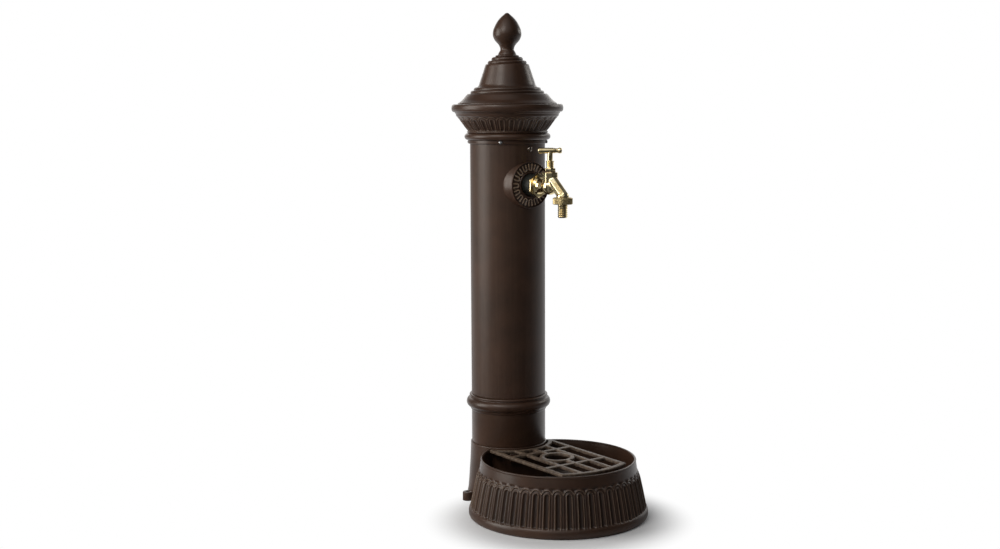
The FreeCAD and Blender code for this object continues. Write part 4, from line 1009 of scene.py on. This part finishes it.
class FOUNTAIN_OT_union(bpy.types.Operator):
    """Builds the knurled nut and the barbed hose tail"""
    bl_idname = "fountain.union"
    bl_label = "Hose union"

    def execute(self, context):
        outline = traced([(7.8, 487.0), (14.4, 487.0), (15.2, 487.8), (15.2, 496.0), (14.3, 497.0),
                          (13.27, 497.0), (13.27, 489.45), (7.8, 489.45)], 0.15)
        # Six mesh columns draw one tooth.
        nut = spun(outline, KNURL_TEETH * 6)
        for v in nut.verts:
            radius = math.hypot(v.co.x, v.co.y)
            if radius < KNURL_FROM:
                continue
            tooth = 0.5 + 0.5 * math.cos(math.atan2(v.co.y, v.co.x) * KNURL_TEETH)
            share = 1 - KNURL_DEPTH * (1 - tooth) / radius
            v.co.x *= share
            v.co.y *= share
        bmesh.ops.translate(nut, vec=(0, OUTLET_Y, 0), verts=nut.verts)
        piece(nut, "union_nut_knurled", machined_brass(), "union", "brass_plain", "union_nut")
        tail = [(4.8, TAIL_BOTTOM), (6.6, TAIL_BOTTOM)]
        for k in range(6):
            z = TAIL_BOTTOM + BARB_PITCH * k
            tail += [(7.8, z + 2.4), (7.7, z + 2.8), (6.9, z + BARB_PITCH)]
        tail += [(6.8, 489.5), (12.8, 489.5), (12.8, 492.0), (4.8, 492.0)]
        piece(spun(traced(tail, 0.12), SMALL_STEPS, (0, OUTLET_Y, 0)), "hose_tail_barbed", polished_brass(),
              "hose_end", "brass_polished", "hose_tail")
        return {"FINISHED"}


class FOUNTAIN_OT_fittings(bpy.types.Operator):
    """Gives the screws, the drain and the hidden water way their finishes"""
    bl_idname = "fountain.fittings"
    bl_label = "Fittings"

    def execute(self, context):
        repaint(blackened_steel(), "bridge_screws", "tube_screws")
        repaint(zinc_steel(), "capital_screws", "rosette_screws", "collar_bolts", "collar_washers",
                "finial_stud", "finial_nut", "head_bridge")
        # Pressed stainless steel: cool grey with a satin grain.
        repaint(metal("brushed_stainless_steel", "#C3C8CE", "#9AA0A8", 0.22, 0.36, 0.8, (6.0, 1.0, 1.0)),
                "drain_waste")
        repaint(black_rubber(), "drain_seal", "pipe_grommet", "jumper_washer", "union_washer")
        repaint(machined_brass(), "inlet_adaptor", "inlet_nut", "inlet_olive", "elbow_nut", "elbow_olive",
                "tap_elbow", "jumper")
        # Drawn copper with a dull brown bloom.
        repaint(metal("drawn_copper", "#C07A55", "#8E5238", 0.25, 0.45, 2.0, (1.0, 1.0, 12.0)), "riser_pipe")
        # Pressed brown fibre, matt and a little flecked.
        repaint(moulded("vulcanised_fibre", "#4A2A1E", "#3A2018", 0.6, 0.75, 0.5, 0.02), "bonnet_washer")
        # White sealing ring with a waxy skin.
        repaint(moulded("white_sealing_ring", "#E4E4DE", "#D6D6CE", 0.35, 0.5, 0.6, 0.01), "gland_packing")
        # Glass-filled nylon with a fine matt skin.
        repaint(moulded("moulded_nylon", "#2B2B2C", "#202021", 0.5, 0.65, 0.5, 0.015), "drain_backnut",
                "elbow_saddle")
        return {"FINISHED"}


# The stage, in metres


FLOOR_HALF = 6.0
# Middle of the shadow on the floor, and how far from it the paper begins to turn white and is white.
SHADOW_MIDDLE = (-0.017, AXIS_Y + BASIN_Y * MM - 0.025, 0.0)
SHADOW_START, SHADOW_STOP = 0.125, 0.215
# Ways that mirrors see bright: the backdrop behind the fountain, and high on the left in front of it.
BEHIND = (0.70, 0.71, 0.0)
HIGH_LEFT = (-0.60, -0.35, 0.72)
HIGH_START, HIGH_STOP, HIGH_STRENGTH = 0.6, 0.9, 0.8
# How bright mirrors see the rest, as a share of the room's light.
DIM_SHARE = 0.6
WHITE = (1, 1, 1, 1)
WARM = (1.0, 0.96, 0.90)
MIDDLE = (0.0, AXIS_Y, 0.40)
HEAD = (0.0, AXIS_Y, 0.69)
CAMERA_PLACE = (-1.3019, AXIS_Y - 1.8367, 0.634)
# The camera looks this far to the right of straight back, this far down, and is tilted by this much.
CAMERA_TURN, CAMERA_PITCH, CAMERA_ROLL = math.radians(35.0), math.radians(6.8), math.radians(-0.26)


def area_lamp(name, power, width, height, place, target):
    """A warm white rectangle of light turned to a target."""
    lamp = bpy.data.lights.new(name, "AREA")
    lamp.shape = "RECTANGLE"
    lamp.size, lamp.size_y, lamp.energy, lamp.color = width, height, power, WARM
    made = bpy.data.objects.new(name, lamp)
    made.location = place
    made.rotation_euler = (Vector(target) - Vector(place)).to_track_quat("-Z", "Y").to_euler()
    bpy.context.scene.collection.objects.link(made)


def backdrop(tree, way, dim, start, stop):
    """Which rays see the white backdrop, and how bright: white to the camera, and in reflections white
    behind the fountain, pale high on the left in front of it, and dim elsewhere, where the room is dark."""
    rays = add(tree, "ShaderNodeLightPath").outputs
    camera = rays["Is Camera Ray"]
    mirrored = add(tree, "ShaderNodeMath", {0: rays["Is Glossy Ray"], 1: rays["Is Transmission Ray"]},
                   operation="ADD", use_clamp=True).outputs[0]
    shown = add(tree, "ShaderNodeMath", {0: camera, 1: mirrored}, operation="ADD", use_clamp=True).outputs[0]
    behind = add(tree, "ShaderNodeVectorMath", {0: way, 1: BEHIND}, operation="DOT_PRODUCT").outputs["Value"]
    behind = add(tree, "ShaderNodeMapRange", {"Value": behind, "From Min": start, "From Max": stop,
                                              "To Min": dim, "To Max": 1.0},
                 interpolation_type="SMOOTHSTEP").outputs[0]
    high = add(tree, "ShaderNodeVectorMath", {0: way, 1: HIGH_LEFT}, operation="DOT_PRODUCT").outputs["Value"]
    high = add(tree, "ShaderNodeMapRange", {"Value": high, "From Min": HIGH_START, "From Max": HIGH_STOP,
                                            "To Max": HIGH_STRENGTH},
               interpolation_type="SMOOTHSTEP").outputs[0]
    bright = add(tree, "ShaderNodeMath", {0: behind, 1: high}, operation="MAXIMUM").outputs[0]
    strength = add(tree, "ShaderNodeMix", {0: camera, 2: bright, 3: 1.0}).outputs[0]
    return shown, strength


def floor_paper(stage):
    """Matt white paper: near the fountain it takes the shadow, further off it is as white as the backdrop."""
    tree, material = start_material("studio_floor_paper")
    place = add(tree, "ShaderNodeTexCoord").outputs["Object"]
    away = add(tree, "ShaderNodeVectorMath", {0: place, 1: SHADOW_MIDDLE}, operation="DISTANCE")
    far = add(tree, "ShaderNodeMapRange", {"Value": away.outputs["Value"], "From Min": SHADOW_START,
                                           "From Max": SHADOW_STOP},
              interpolation_type="SMOOTHSTEP").outputs[0]
    way = add(tree, "ShaderNodeVectorMath", {0: place, 1: (0.0, AXIS_Y, 0.0)}, operation="SUBTRACT")
    way = add(tree, "ShaderNodeVectorMath", {0: way.outputs[0]}, operation="NORMALIZE").outputs[0]
    shown, strength = backdrop(tree, way, DIM_SHARE * stage.room_light, start=-0.4, stop=0.8)
    far = add(tree, "ShaderNodeMath", {0: far, 1: shown}, operation="MULTIPLY").outputs[0]
    paper = add(tree, "ShaderNodeBsdfDiffuse", {"Color": tuple(stage.floor_colour) + (1.0,)})
    glow = add(tree, "ShaderNodeEmission", {"Color": WHITE, "Strength": strength})
    both = add(tree, "ShaderNodeMixShader", {0: far, 1: paper.outputs[0], 2: glow.outputs[0]})
    add(tree, "ShaderNodeOutputMaterial", {"Surface": both.outputs[0]})
    return material


def floor_sheet(stage):
    """The flat floor under the fountain."""
    bm = bmesh.new()
    bmesh.ops.create_grid(bm, x_segments=1, y_segments=1, size=FLOOR_HALF)
    mesh = bpy.data.meshes.new("studio_floor")
    bm.to_mesh(mesh)
    bm.free()
    floor = bpy.data.objects.new("studio_floor", mesh)
    bpy.context.scene.collection.objects.link(floor)
    mesh.materials.append(floor_paper(stage))


def studio_room(stage):
    """A dim even room round the fountain, with the white backdrop where the camera and mirrors see it."""
    world = bpy.data.worlds.new("studio_room")
    bpy.context.scene.world = world
    world.use_nodes = True
    tree = world.node_tree
    tree.nodes.clear()
    ray = add(tree, "ShaderNodeTexCoord").outputs["Generated"]
    shown, strength = backdrop(tree, ray, DIM_SHARE * stage.room_light, start=0.35, stop=1.1)
    room = add(tree, "ShaderNodeBackground", {"Color": WHITE, "Strength": stage.room_light})
    white = add(tree, "ShaderNodeBackground", {"Color": WHITE, "Strength": strength})
    both = add(tree, "ShaderNodeMixShader", {0: shown, 1: room.outputs[0], 2: white.outputs[0]})
    add(tree, "ShaderNodeOutputWorld", {"Surface": both.outputs[0]})


def photo_camera(lens):
    """The camera at the photograph's viewing angle."""
    data = bpy.data.cameras.new("camera")
    data.sensor_width, data.sensor_fit, data.lens = 36.0, "HORIZONTAL", lens
    data.clip_start, data.clip_end = 0.05, 50.0
    camera = bpy.data.objects.new("camera", data)
    ahead = Vector((math.sin(CAMERA_TURN) * math.cos(CAMERA_PITCH),
                    math.cos(CAMERA_TURN) * math.cos(CAMERA_PITCH), -math.sin(CAMERA_PITCH)))
    turn = ahead.to_track_quat("-Z", "Y").to_matrix().to_4x4()
    camera.matrix_world = Matrix.Translation(CAMERA_PLACE) @ turn @ Matrix.Rotation(CAMERA_ROLL, 4, "Z")
    bpy.context.scene.collection.objects.link(camera)
    bpy.context.scene.camera = camera


class FOUNTAIN_OT_stage(bpy.types.Operator):
    """Sets the pale floor, the studio lamps and the camera"""
    bl_idname = "fountain.stage"
    bl_label = "Stage"

    def execute(self, context):
        stage = context.scene.fountain_stage
        floor_sheet(stage)
        studio_room(stage)
        area_lamp("key_lamp", stage.key_power, 1.3, 1.8, (-2.0, AXIS_Y + 0.93, 0.9), MIDDLE)
        area_lamp("high_lamp", stage.high_power, 1.0, 1.0, (-1.66, AXIS_Y - 0.54, 2.01), HEAD)
        area_lamp("rim_lamp", stage.rim_power, 0.7, 0.5, (1.9, AXIS_Y - 0.2, 1.2), HEAD)
        area_lamp("back_lamp", stage.back_power, 2.4, 0.8, (1.26, AXIS_Y + 1.8, 1.1), MIDDLE)
        photo_camera(stage.lens)
        context.scene.view_settings.view_transform = "Standard"
        return {"FINISHED"}


class FOUNTAIN_PT_panel(bpy.types.Panel):
    """Sizes, finishes and pieces of the fountain"""
    bl_idname = "FOUNTAIN_PT_panel"
    bl_label = "Garden Fountain"
    bl_space_type = "VIEW_3D"
    bl_region_type = "UI"
    bl_category = "Fountain"

    def draw(self, context):
        for name in GROUPS:
            group = getattr(context.scene, name)
            box = self.layout.box()
            for key in group.__annotations__:
                box.prop(group, key)
        for operator in OPERATORS:
            self.layout.operator(operator.bl_idname)


GROUPS = {"fountain_sizes": FountainSizes, "fountain_finish": FountainFinish, "fountain_stage": FountainStage}
OPERATORS = (FOUNTAIN_OT_base, FOUNTAIN_OT_grate, FOUNTAIN_OT_column, FOUNTAIN_OT_head,
             FOUNTAIN_OT_rosette, FOUNTAIN_OT_tap, FOUNTAIN_OT_handle, FOUNTAIN_OT_union,
             FOUNTAIN_OT_fittings, FOUNTAIN_OT_stage)


def register():
    for name, group in GROUPS.items():
        bpy.utils.register_class(group)
        setattr(bpy.types.Scene, name, PointerProperty(type=group))
    for operator in OPERATORS:
        bpy.utils.register_class(operator)
    bpy.utils.register_class(FOUNTAIN_PT_panel)


def unregister():
    bpy.utils.unregister_class(FOUNTAIN_PT_panel)
    for operator in reversed(OPERATORS):
        bpy.utils.unregister_class(operator)
    for name, group in GROUPS.items():
        delattr(bpy.types.Scene, name)
        bpy.utils.unregister_class(group)


def main():
    register()
    bpy.ops.fountain.stage()
    bpy.ops.fountain.base()
    bpy.ops.fountain.grate()
    bpy.ops.fountain.column()
    bpy.ops.fountain.head()
    bpy.ops.fountain.rosette()
    bpy.ops.fountain.tap()
    bpy.ops.fountain.handle()
    bpy.ops.fountain.union()
    bpy.ops.fountain.fittings()


if __name__ == "__main__":
    main()
